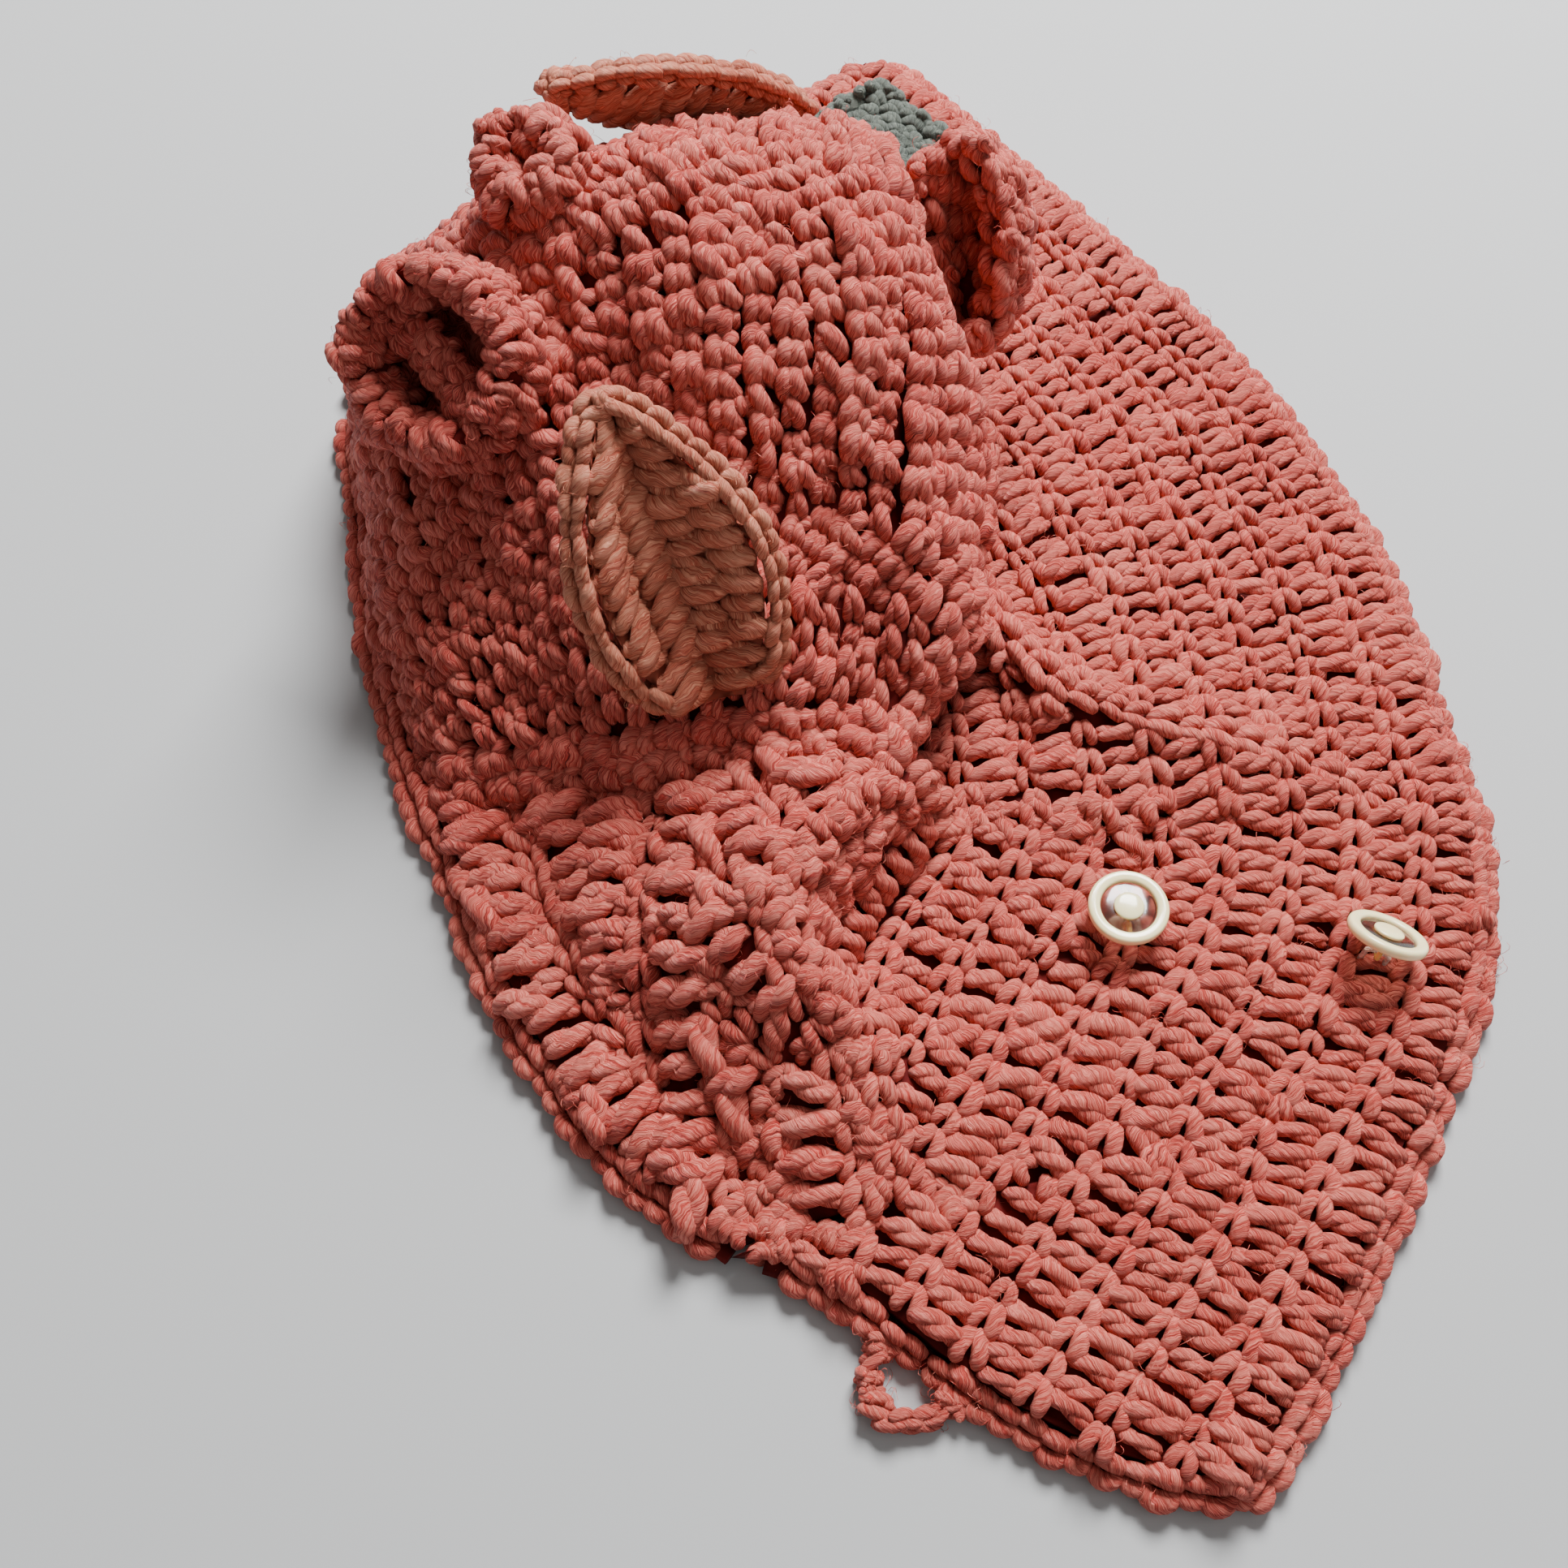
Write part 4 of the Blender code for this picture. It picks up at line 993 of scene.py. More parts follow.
def lay_right_rows(plan, right, groups, taken):
    """Rows parallel to the cape's right outline, over its front and back: long stitches, then a braid."""
    distance = 5.0 * MM
    while distance < 0.34:
        for kind, middle in (("bar", distance + BAR / 2), ("vee", distance + BAR + (ROW - BAR) / 2)):
            line = smooth_rows(moved_in(extended(right, 0.26), middle), 4)
            step_of = bar_step if kind == "bar" else (lambda x, y: np.full_like(x, 8.0 * MM))
            points, heading, steps = walk(line, step_of)
            x, y = points[:, 0], points[:, 1]
            clear = taken.free(x, y, 4.6 * MM)
            for places, tree in groups:
                keep = on_panel(tree, x, y) & clear
                here, along, across, normal = plan.frames(x[keep], y[keep], heading[keep])
                here = here - normal * 1.2 * MM
                wide = steps[keep] / (7.2 * MM)
                if kind == "bar":
                    size = np.stack([wide, np.full_like(wide, 1.04), wide ** 0.5], 1)
                    mixed = rng.random(keep.sum()) < 0.5
                    for name, chosen in (("bar", mixed), ("bar_loose", ~mixed)):
                        places.add(name, here[chosen], along[chosen], across[chosen], normal[chosen],
                                   size[chosen], spin=0.12, lean=0.12)
                else:
                    places.add("vee", here, along, across, normal, (1.0, 0.94, 1.1), lean=0.08)
                taken.take(x[keep], y[keep])
        distance += ROW


def lay_left_rows(plan, left, places, tree, taken):
    """Rows along the cape's left edge: long stitches across the row, and a braid between."""
    distance = 4.5 * MM
    long_bar = 16.0 * MM
    for _ in range(8):
        for kind, middle in (("bar", distance + long_bar / 2), ("vee", distance + long_bar + 2.6 * MM)):
            line = smooth_rows(moved_in(extended(left, 0.12), middle), 6)
            points, heading, steps = walk(line, lambda x, y: np.full_like(x, 8.6 * MM if kind == "bar" else 8.0 * MM))
            keep = on_panel(tree, points[:, 0], points[:, 1]) & taken.free(points[:, 0], points[:, 1], 5 * MM)
            here, along, across, normal = plan.frames(points[keep, 0], points[keep, 1], heading[keep])
            here = here - normal * 1.2 * MM
            if kind == "vee":
                places.add(kind, here, along, across, normal, (1.0, 1.0, 1.1))
            else:
                mixed = rng.random(keep.sum()) < 0.6
                for name, chosen in (("bar_loose", mixed), ("bar", ~mixed)):
                    places.add(name, here[chosen], along[chosen], across[chosen], normal[chosen],
                               (1.14, 1.28, 1.3), spin=-0.12, lean=0.12)
            taken.take(points[keep, 0], points[keep, 1])
        distance += long_bar + 5.4 * MM


def lay_edge(plan, line, places, level=None, out=0.0, size=1.0):
    """A chain along a plan line, lying half on its side."""
    points, heading, _ = walk(line, lambda x, y: np.full_like(x, EDGE_STEP * size))
    x, y = points[:, 0], points[:, 1]
    flat = np.concatenate([heading, np.zeros((len(x), 1))], 1)
    outward = np.stack([-heading[:, 1], heading[:, 0], np.zeros(len(x))], 1)
    normal = unit(np.array([0, 0, 1.0])[None] * 0.8 + outward * 0.6)
    across = np.cross(normal, flat)
    z = np.full(len(x), 3.6 * MM if level is None else level)
    spots = np.stack([x, y, z], 1) + outward * out
    places.add("chain", spots, flat, across, normal, (0.92 * size, 1.05 * size, 1.15 * size), lean=0.08)


# ---- the hood -------------------------------------------------------------------------------------------------------

HOOD_AXIS_X = -0.060
HOOD_TURNS = 90
HOOD_SECTIONS_COUNT = 70


def hood_surface(names, inner=False):
    """The hood's outer face: rows from front to back, columns from the face opening round to the left foot."""
    tree = cad_tree(*names)
    low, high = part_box("hood_shell")
    grid, lengths = [], []
    for y in np.linspace(low.y + 0.001, high.y - 0.004, HOOD_SECTIONS_COUNT):
        line = []
        for k in range(181):
            turn = math.radians(k)
            start = Vector((HOOD_AXIS_X, y, 0.004))
            ahead = Vector((math.cos(turn), 0, math.sin(turn)))
            hit = tree.ray_cast(start, ahead)[0] if inner else last_hit(tree, start, ahead, 0.2)
            if hit is not None:
                line.append(tuple(hit))
        line = np.array(line)
        steady = np.concatenate([[0], np.cumsum(np.linalg.norm(np.diff(line, axis=0), axis=1))])
        at = np.linspace(0, steady[-1], HOOD_TURNS)
        grid.append(np.stack([np.interp(at, steady, line[:, k]) for k in range(3)], 1))
        lengths.append(steady[-1])
    grid = np.array(grid)
    for _ in range(3):
        grid = smooth_rows(grid, 1)
        grid = smooth_rows(grid.transpose(1, 0, 2), 1).transpose(1, 0, 2)
    return grid, np.array(lengths)


def wave_hood(grid):
    """Soft dents and waves in the hood."""
    surface = Surface(grid)
    rows, columns = np.meshgrid(np.arange(grid.shape[0]), np.arange(grid.shape[1]), indexing="ij")
    _, _, _, normal = surface.frames(rows.ravel(), columns.ravel())
    normal = normal.reshape(grid.shape)
    x, y = grid[..., 0], grid[..., 1]
    swell = lumps(x, y, 65 * MM, 11) * 2.4 * MM
    return grid + normal * (swell - 1.8 * MM)[..., None]


def lay_hood(surface, lengths, places_of, stitch_count=30, flip=1.0, inner=False):
    """Rows that run from the front to the back of the hood, next to each other from the face opening round."""
    columns_max = surface.grid.shape[1] - 1
    for k in range(stitch_count):
        column = (k + 0.5) / stitch_count * columns_max
        rows = np.linspace(0, surface.grid.shape[0] - 1, 400)
        line = surface.at(rows, np.full(400, column))
        steady = np.concatenate([[0], np.cumsum(np.linalg.norm(np.diff(line, axis=0), axis=1))])
        step = (10.5 if inner else 7.9) * MM
        wanted = np.arange((0.25 if k % 2 else 0.75) * step, steady[-1], step)
        at = np.interp(wanted, steady, rows)
        pitch = np.interp(at, np.arange(len(lengths)), lengths) / stitch_count
        keep = (pitch > 5.6 * MM) | (k % 2 == 0)
        at, pitch = at[keep], pitch[keep]
        dense = pitch <= 5.6 * MM
        pitch = np.where(dense, pitch * 2, pitch)
        wave = 0.15 * np.sin(at * 0.33 + k)
        here, along, across, normal = surface.frames(at, np.full(len(at), column) + wave, flip)
        across = np.cross(normal, along)
        wide = pitch / (9.0 * MM)
        rib = k < 6 and not inner
        size = np.stack([np.full_like(wide, 1.0 if rib else 1.06), wide * (1.2 if rib else 1.02),
                         np.full_like(wide, 1.2)], 1)
        if not inner:
            raised = 1.3 * MM if k % 2 == 0 else -1.1 * MM
            here = here + normal * (raised * np.interp(k, [0, 8, 14], [1.0, 0.7, 0.25]))
        chooser = rng.random(len(at))
        if rib:
            kinds = (("rib", chooser < 0.75), ("lump_turned", chooser >= 0.75))
        else:
            kinds = (("lump", chooser < 0.5), ("lump_turned", (chooser >= 0.5) & (chooser < 0.85)),
                     ("rib", chooser >= 0.85))
        for name, chosen in kinds:
            places_of(k).add(name, here[chosen], along[chosen], across[chosen], normal[chosen], size[chosen],
                             lean=0.14 if rib else 0.24, fuzz=0.0 if inner else 0.3)


# ---- ears -----------------------------------------------------------------------------------------------------------

def ear_frame(joint_name, node_name):
    """An ear's own frame at its hinge: X across, Y along, Z out of its hollow face."""
    joint = next(j for j in frame["joints"] if j["name"] == joint_name)
    base, x = Vector(joint["pos_m"]), Vector(joint["axis"]).normalized()
    points = np.array([v.co for v in nodes[node_name].data.vertices])
    away = Vector(points.mean(0)) - base
    y = (away - x * away.dot(x)).normalized()
    return base, x, y, x.cross(y)


def ear_grid(joint_name, node_name):
    """The ear's hollow face as a grid: rows along it, columns from its left edge to its right."""
    base, x, y, z = ear_frame(joint_name, node_name)
    points = np.array([v.co for v in nodes[node_name].data.vertices]) - np.array(base)
    own = np.stack([points @ np.array(x), points @ np.array(y), points @ np.array(z)], 1)
    tree = cad_tree(node_name)
    lowest, highest = own[:, 1].min(), own[:, 1].max()
    grid, under = [], []
    for along in np.linspace(lowest + 0.001, highest - 0.001, 33):
        near = own[np.abs(own[:, 1] - along) < 0.006]
        left, right = near[:, 0].min(), near[:, 0].max()
        spot = lambda a: Vector(base) + x * a + y * along
        hits = []
        for a in np.linspace(left, right, 61):
            top = tree.ray_cast(spot(a) + z * 0.06, -z)[0]
            low = tree.ray_cast(spot(a) - z * 0.06, z)[0]
            if top is not None and low is not None:
                hits.append((a, tuple(top), tuple(low)))
        at = np.linspace(hits[0][0], hits[-1][0], 21)
        known = np.array([h[0] for h in hits])
        for made, index in ((grid, 1), (under, 2)):
            values = np.array([h[index] for h in hits])
            made.append(np.stack([np.interp(at, known, values[:, k]) for k in range(3)], 1))
    return np.array(grid), np.array(under)


def lay_ear(places, grid, flip, curl):
    """Slanted stitches either side of a middle groove, as on a leaf, on one face of an ear."""
    surface = Surface(grid)
    rows, columns = grid.shape[:2]
    middle = (columns - 1) / 2
    step = 6.4 * MM
    long = np.linalg.norm(np.diff(grid[:, columns // 2], axis=0), axis=1)
    steady = np.concatenate([[0], np.cumsum(long)])
    wanted = np.arange(step * 0.6, steady[-1], step)
    for at in np.interp(wanted, steady, np.arange(rows)):
        width = np.linalg.norm(surface.at(np.array([at]), np.array([columns - 1.01]))
                               - surface.at(np.array([at]), np.array([0.0])))
        for side in (-1, 1):
            count = max(int(round(width / 2 / (10.0 * MM))), 1)
            for k in range(count):
                share = (k + 0.5) / count
                column = middle + side * share * middle * 0.96
                shift = share * 1.3 * (columns / 21)
                here, along, across, normal = surface.frames(
                    np.array([min(at + shift, rows - 1.2)]), np.array([column]), flip)
                outward = across * side
                sideways = unit(np.cross(normal, outward))
                length = width / 2 / count
                places.add("rib", here - normal * 0.9 * MM, outward, sideways, normal,
                           (length / (8.2 * MM) + 0.16, 1.16, 0.86), spin=0.45 * side * (1 if flip > 0 else -1) * curl,
                           lean=0.09)


def lay_ear_edge(places, node_name, joint_name):
    """The chain round an ear, along the middle of its packed edge."""
    base, x, y, z = ear_frame(joint_name, node_name.replace("_edge", ""))
    points = np.array([v.co for v in nodes[node_name].data.vertices])
    line = ring_line(points, np.array(base), np.array(x), np.array(y))
    ahead = unit(np.gradient(line, axis=0))
    fine = even_line(line, 1 * MM)
    step = 6.0
    index = np.arange(3, len(fine) - 2, step).astype(int)
    ahead = unit(np.gradient(fine, axis=0))[index]
    spots = fine[index]
    middle = np.array(base) + np.array(y) * 0.045
    outward = unit(spots - middle - ahead * ((spots - middle) * ahead).sum(1, keepdims=True))
    face = np.broadcast_to(np.array(z), outward.shape)
    normal = unit(outward * 0.75 + face * 0.65)
    normal = unit(normal - ahead * (normal * ahead).sum(1, keepdims=True))
    across = np.cross(normal, ahead)
    places.add("chain", spots - normal * 0.4 * MM, ahead, across, normal, (0.9, 0.92, 0.9), lean=0.06)


def ring_line(points, base, x, y):
    """The middle line of an open loop of cord round an ear, from its left foot over the tip to its right foot."""
    own = np.stack([(points - base) @ x, (points - base) @ y], 1)
    centre = np.array([0.0, own[:, 1].max() * 0.42])
    turn = np.arctan2(own[:, 0] - centre[0], own[:, 1] - centre[1])
    made = []
    for k in range(-27, 28):
        near = points[np.abs(turn - math.radians(k * 6)) < math.radians(5)]
        if len(near) >= 4:
            made.append((near.min(0) + near.max(0)) / 2)
    return smooth_rows(np.array(made), 2)


# ---- horns and the curled brim --------------------------------------------------------------------------------------

def wheel_surface(node_name, turns=48, sides=24):
    """A ring-shaped node as a grid: rows round the ring, columns round its section."""
    points = np.array([v.co for v in nodes[node_name].data.vertices])
    centre = points.mean(0)
    _, _, axes = np.linalg.svd(points - centre)
    normal = axes[2] if axes[2][2] > 0 else -axes[2]
    x = unit(np.cross(np.array([0, 1.0, 0]), normal))
    y = np.cross(normal, x)
    own = points - centre
    out = np.hypot(own @ x, own @ y)
    middle = (out.min() + out.max()) / 2
    tree = cad_tree(node_name)
    grid = []
    for k in range(turns + 1):
        turn = 2 * math.pi * k / turns
        spoke = x * math.cos(turn) + y * math.sin(turn)
        flat = own @ spoke
        side = own @ np.cross(normal, spoke)
        near = (np.abs(side) < 0.004) & (flat > 0)
        level = ((own @ normal)[near].min() + (own @ normal)[near].max()) / 2 if near.any() else 0.0
        start = Vector(centre + spoke * middle + normal * level)
        line = []
        for i in range(sides + 1):
            bend = 2 * math.pi * i / sides
            ahead = Vector(spoke * math.cos(bend) + normal * math.sin(bend))
            hit = last_hit(tree, start, ahead, 0.05)
            line.append(tuple(hit if hit is not None else start))
        grid.append(line)
    return np.array(grid), normal


def lay_wheel(places, grid, rows_at, kind="lump"):
    surface = Surface(grid)
    count = grid.shape[0] - 1
    for column, shift in rows_at:
        line = surface.at(np.linspace(0, count, 200), np.full(200, column))
        steady = np.concatenate([[0], np.cumsum(np.linalg.norm(np.diff(line, axis=0), axis=1))])
        number = max(int(steady[-1] / (7.6 * MM)), 5)
        wanted = (np.arange(number) + shift) / number * steady[-1]
        at = np.interp(wanted, steady, np.linspace(0, count, 200))
        here, along, across, normal = surface.frames(np.clip(at, 0.9, count - 0.9), np.full(number, column), 1.0)
        middle = grid.reshape(-1, 3).mean(0)
        spoke = grid[np.clip(at.astype(int), 0, count)].mean(1)
        outward = np.sign(((here - spoke) * normal).sum(1, keepdims=True))
        normal = normal * np.where(outward == 0, 1, outward)
        across = np.cross(normal, along)
        mixed = rng.random(number) < 0.6
        for name, chosen in ((kind, mixed), ("lump_turned", ~mixed)):
            places.add(name, here[chosen] - normal[chosen] * 0.8 * MM, along[chosen], across[chosen],
                       normal[chosen], (1.0, 0.86, 1.0), lean=0.2)


def lay_over(places, node_name, guide, step, kinds, sink=1.0 * MM, size=(1.0, 1.0, 1.0), seed=5, radial=False):
    """Stitches set over a node's whole surface, about step apart, their rows along guide."""
    local = np.random.default_rng(seed)
    spots, normals = scattered(node_name, local, 4000)
    kept = []
    for k in range(len(spots)):
        if all(np.linalg.norm(spots[k] - spots[j]) > step or normals[k] @ normals[j] < 0.2 for j in kept):
            kept.append(k)
    spots, normals = spots[kept], normals[kept]
    row = np.broadcast_to(np.asarray(guide, float), spots.shape)
    if radial:
        row = spots - spots.mean(0)
    row = unit(row - normals * (row * normals).sum(1, keepdims=True) + 1e-6)
    across = np.cross(normals, row)
    chooser = rng.integers(0, len(kinds), len(spots))
    for k, kind in enumerate(kinds):
        mine = chooser == k
        places.add(kind, spots[mine] - normals[mine] * sink, row[mine], across[mine], normals[mine], size, lean=0.2)


def lay_bar(places, node_name):
    """A fold of stitches across the hollow of a horn."""
    points = np.array([v.co for v in nodes[node_name].data.vertices])
    centre = points.mean(0)
    _, _, axes = np.linalg.svd(points - centre)
    up = axes[2] if axes[2][2] > 0 else -axes[2]
    along = unit(np.cross(up, np.array([0.75, 0.65, 0.0])))
    reach = np.abs((points - centre) @ along).max()
    shares = np.linspace(-0.62, 0.62, 7)
    spots = centre + along * reach * shares[:, None] + up * (2.0 * MM + 5.0 * MM * shares[:, None] ** 2)
    for shift in (-2.6 * MM, 2.6 * MM):
        side = np.cross(up, along)
        normal = np.broadcast_to(unit(up + side * np.sign(shift) * 0.6), spots.shape)
        row = np.broadcast_to(along, spots.shape)
        places.add("lump", spots + side * shift, row, np.cross(normal, row), normal, (1.0, 0.9, 1.0), lean=0.25)


# ---- buttons --------------------------------------------------------------------------------------------------------

def lathe(name, profile, frame_matrix, material, steps=96):
    """A turned piece from (radius, height) points in metres that run down its outer side."""
    bm = bmesh.new()
    points = [bm.verts.new((r, 0, z)) for r, z in profile]
    closed = profile[0][0] > 0
    edges = [bm.edges.new(pair) for pair in zip(points, points[1:])]
    if closed:
        edges.append(bm.edges.new((points[-1], points[0])))
    bmesh.ops.spin(bm, geom=points + edges, cent=(0, 0, 0), axis=(0, 0, 1), angle=2 * math.pi, steps=steps,
                   use_merge=True)
    bmesh.ops.remove_doubles(bm, verts=bm.verts[:], dist=0.000002)
    bmesh.ops.recalc_face_normals(bm, faces=bm.faces[:])
    for face in bm.faces:
        face.smooth = True
    mesh = bpy.data.meshes.new(name)
    bm.to_mesh(mesh)
    bm.free()
    mesh.transform(frame_matrix)
    mesh.materials.append(material)
    mesh.set_sharp_from_angle(angle=math.radians(60))
    made = bpy.data.objects.new(name, mesh)
    bpy.context.scene.collection.objects.link(made)
    return made


def button_frame(number):
    """A button's frame, from its packed rim: Z out of its face, at the rim's middle."""
    points = np.array([v.co for v in nodes[f"button_{number}_rim"].data.vertices])
    centre = (points.min(0) + points.max(0)) / 2
    _, _, axes = np.linalg.svd(points - centre)
    z = Vector(axes[2] if axes[2][2] > 0 else -axes[2])
    x = Vector(axes[0])
    placed = Matrix((x, z.cross(x), z)).transposed().to_4x4()
    placed.translation = Vector(centre)
    return placed, np.abs((points - centre) @ np.array(z)).max() * 2


def build_button(number, cream, clear):
    placed, thick = button_frame(number)
    inverse = placed.inverted()
    reach = lambda name: max(math.hypot(*(inverse @ v.co).xy) for v in nodes[name].data.vertices)
    outer, inner, boss = (reach(f"button_{number}_{part}") for part in ("rim", "disc", "boss"))
    inner = min(inner + 0.2 * MM, outer - 3.1 * MM)
    half = thick / 2
    steps = 8
    profile = []
    for k in range(steps + 1):
        turn = math.pi * k / steps
        profile.append((outer - 0.9 * MM * (1 - math.sin(turn)), half * math.copysign(abs(math.cos(turn)) ** 0.8,
                                                                                      math.cos(turn))))
    profile += [(inner + 0.8 * MM, -half), (inner + 0.2 * MM, -half * 0.8), (inner, -half * 0.5),
                (inner, half * 0.5), (inner + 0.2 * MM, half * 0.82), (inner + 0.7 * MM, half)]
    rim = lathe(f"button_{number}_ring", profile, placed, cream)
    low, high = -0.62 * MM, 0.62 * MM
    edge = inner - 0.15 * MM
    disc = lathe(f"button_{number}_window", [
        (0, high), (boss, high), (edge - 0.6 * MM, high * 0.95), (edge, high * 0.5), (edge, low * 0.5),
        (edge - 0.6 * MM, low), (0, low)], placed, clear)
    dome = [(boss * math.sin(math.pi / 2 * k / 10) ** 0.8, high + 0.5 * MM + 0.9 * MM
             * math.cos(math.pi / 2 * k / 10) ** 0.7) for k in range(11)]
    cap = lathe(f"button_{number}_cap", dome + [(boss * 0.97, high + 0.1 * MM), (0, high + 0.1 * MM)], placed, cream)
    for piece, part, slot in ((rim, "rim", "cream plastic"), (disc, "disc", "clear plastic"),
                              (cap, "boss", "cream plastic")):
        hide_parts(f"button_{number}_{part}")
        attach(piece, f"button_{number}")


# ---- stage ----------------------------------------------------------------------------------------------------------

CAMERA_HEIGHT = 0.435
CAMERA_PITCH = 62.0
CAMERA_FIELD = 50.0
TARGET = (-0.027, -0.057)


def build_stage():
    scene = bpy.context.scene
    camera = bpy.data.objects.new("camera", bpy.data.cameras.new("camera"))
    camera.data.sensor_fit = "HORIZONTAL"
    camera.data.angle = math.radians(CAMERA_FIELD)
    camera.data.clip_start = 0.01
    pitch = math.radians(CAMERA_PITCH)
    camera.location = (TARGET[0], TARGET[1] - CAMERA_HEIGHT / math.tan(pitch), CAMERA_HEIGHT)
    camera.rotation_euler = (math.pi / 2 - pitch, 0, 0)
    scene.collection.objects.link(camera)
    scene.camera = camera

    bm = bmesh.new()
    bmesh.ops.create_grid(bm, x_segments=2, y_segments=2, size=3.0)
    mesh = bpy.data.meshes.new("floor")
    bm.to_mesh(mesh)
    bm.free()
    floor = bpy.data.objects.new("floor", mesh)
    floor.location.z = -0.0003
    pale = bpy.data.materials.new("pale floor")
    pale.use_nodes = True
    pale.node_tree.nodes["Principled BSDF"].inputs["Base Color"].default_value = (0.44, 0.445, 0.45, 1)
    pale.node_tree.nodes["Principled BSDF"].inputs["Roughness"].default_value = 0.9
    mesh.materials.append(pale)
    scene.collection.objects.link(floor)

    for name, spot, aim, size, power in (
        ("window", (0.35, 1.05, 1.25), (0.02, 0.0, 0.0), 0.7, 88.0),
        ("fill", (1.1, -0.5, 1.2), (0.0, 0.0, 0.0), 1.4, 4.0),
    ):
        lamp = bpy.data.objects.new(name, bpy.data.lights.new(name, "AREA"))
        lamp.data.size = size
        lamp.data.energy = power
        lamp.location = spot
        lamp.rotation_euler = (Vector(aim) - Vector(spot)).to_track_quat("-Z", "Y").to_euler()
        scene.collection.objects.link(lamp)
    world = bpy.data.worlds.new("soft room")
    world.use_nodes = True
    world.node_tree.nodes["Background"].inputs["Color"].default_value = (1.0, 0.985, 0.96, 1)
    world.node_tree.nodes["Background"].inputs["Strength"].default_value = 0.27
    scene.world = world


# ---- putting it together --------------------------------------------------------------------------------------------

def main():
    build_stage()
    fibres = yarn_group()
    # Each yarn's dark colour is painted shade in its ply grooves and its light colour painted highlight on raised
    # fibres, mixed with the yarn's own uneven dye; the middle colour is the yarn's own.
    coral = yarn_material("coral yarn strands", fibres, (74, 10, 9), (206, 58, 50), (255, 142, 124))
    peach = yarn_material("peach yarn strands", fibres, (132, 40, 28), (208, 96, 70), (250, 168, 134))
    grey = yarn_material("grey yarn strands", fibres, (34, 38, 34), (78, 86, 78), (128, 136, 124),
                         tint=(0.7, 0.75, 0.7, 1.0))
    thread = yarn_material("sewing thread", fibres, (170, 120, 110), (224, 190, 176), (246, 228, 216))
    # The cloths under the stitches are coloured darker than their yarns as painted shade between the stitches.
    under = cloth_material("coral painted-shade cloth", (44, 5, 5), (112, 20, 18))
    under_peach = cloth_material("peach painted-shade cloth", (104, 40, 30), (168, 84, 64))
    under_grey = cloth_material("grey painted-shade cloth", (22, 24, 22), (54, 60, 54))
    cream = resin_material("cream resin", (255, 240, 192), (250, 228, 166))
    clear = resin_material("clear resin", (255, 250, 238), (255, 244, 222), 0.14, transmission=1.0)
    amber = resin_material("amber resin", (236, 196, 120), (214, 164, 84), 0.12)

    stitches = stitch_set()
    tree = stitch_tree()
    plan = Plan()

    edge_tree = cad_tree("edge_chain_right", "edge_chain_left", "edge_chain_back", "edge_chain_corner")
    right = outline(edge_tree, "right")
    front = outline(edge_tree, "front")
    back = outline(edge_tree, "back")

    pieces = {}

    def finish(name, places, body, replaced=(), slot="coral yarn", yarn=coral):
        piece = knit(name, places, stitches, tree, yarn)
        piece.data.materials.clear()
        piece.data.materials.append(yarn)
        if replaced:
            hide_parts(*replaced)
        pieces[name] = piece
        if body:
            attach(piece, body)
        return piece

    # The cape's fronts and back.
    flap_tree, corner_tree = cad_tree("front_flap"), cad_tree("front_corner")
    back_tree, left_tree = cad_tree("back_panel"), cad_tree("left_panel")
    flap, corner, behind = Places(), Places(), Places()
    left = Places()
    taken = Taken()
    whole = cad_tree("left_panel", "front_flap")
    lay_strip(plan, RIDGE, (-4.5 * MM, 4.5 * MM), left, whole, taken)
    lay_strip(plan, FOLD[:, :2], (0.0,), flap, flap_tree, taken)
    lay_strip(plan, FOLD[:, :2], (0.0,), behind, back_tree, taken)
    left_line = front[(front[:, 1] > -0.205) & (front[:, 0] < 0.0)]
    lay_left_rows(plan, left_line[::-1], left, left_tree, taken)
    lay_right_rows(plan, right, [(flap, flap_tree), (flap, corner_tree), (behind, back_tree)], taken)
    wave = lambda x, y: fold_height(x, y) + lumps(x, y, 70 * MM, 3) * 1.1 * MM
    rowed = (left, flap, behind)
    fill_gaps(left, ("left_panel",), rowed, wave, 5.2 * MM)
    fill_gaps(flap, ("front_flap", "front_corner"), rowed, wave, 5.2 * MM)
    fill_gaps(behind, ("back_panel",), rowed, wave, 5.2 * MM)
    front_stitches = finish("front_stitches", flap, None)
    back_stitches = finish("back_stitches", behind, "cape")
    left_stitches = finish("left_stitches", left, "cape")
    fold = next(j for j in frame["joints"] if j["name"] == "corner_fold")
    axis = Vector(fold["axis"])
    toward = Vector((axis.y, -axis.x, 0)).normalized()
    if toward.y > 0:
        toward = -toward
    pivot = Vector(fold["pos_m"])
    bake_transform(front_stitches)

    bridge = bridge_cloth(fold, under)
    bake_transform(bridge)

    # Chains round the outline.
    rim, rim_corner = Places(), Places()
    half = 2.2 * MM
    fold_y = lambda x: pivot.y - (x - pivot.x) * axis.x / -axis.y * -1 if abs(axis.y) > 1e-6 else pivot.y
    slope = axis.y / axis.x
    before_fold = lambda p: p[:, 1] > pivot.y + slope * (p[:, 0] - pivot.x)
    for line in (right, front[::-1], back):
        line = extended(moved_in(line, half), 16 * MM)
        line = line[on_panel(edge_tree, line[:, 0], line[:, 1])]
        mask = before_fold(line)
        for places, chosen in ((rim, mask), (rim_corner, ~mask)):
            apart = np.linalg.norm(np.diff(line, axis=0), axis=1) > 12 * MM
            runs = np.split(np.arange(len(line)), np.where((np.diff(chosen.astype(int)) != 0) | apart)[0] + 1)
            for run in runs:
                if len(run) > 2 and chosen[run[0]]:
                    lay_edge(plan, line[run], places)
    finish("edge_chains", rim, "cape")
    finish("edge_chain_of_corner", rim_corner, "corner")

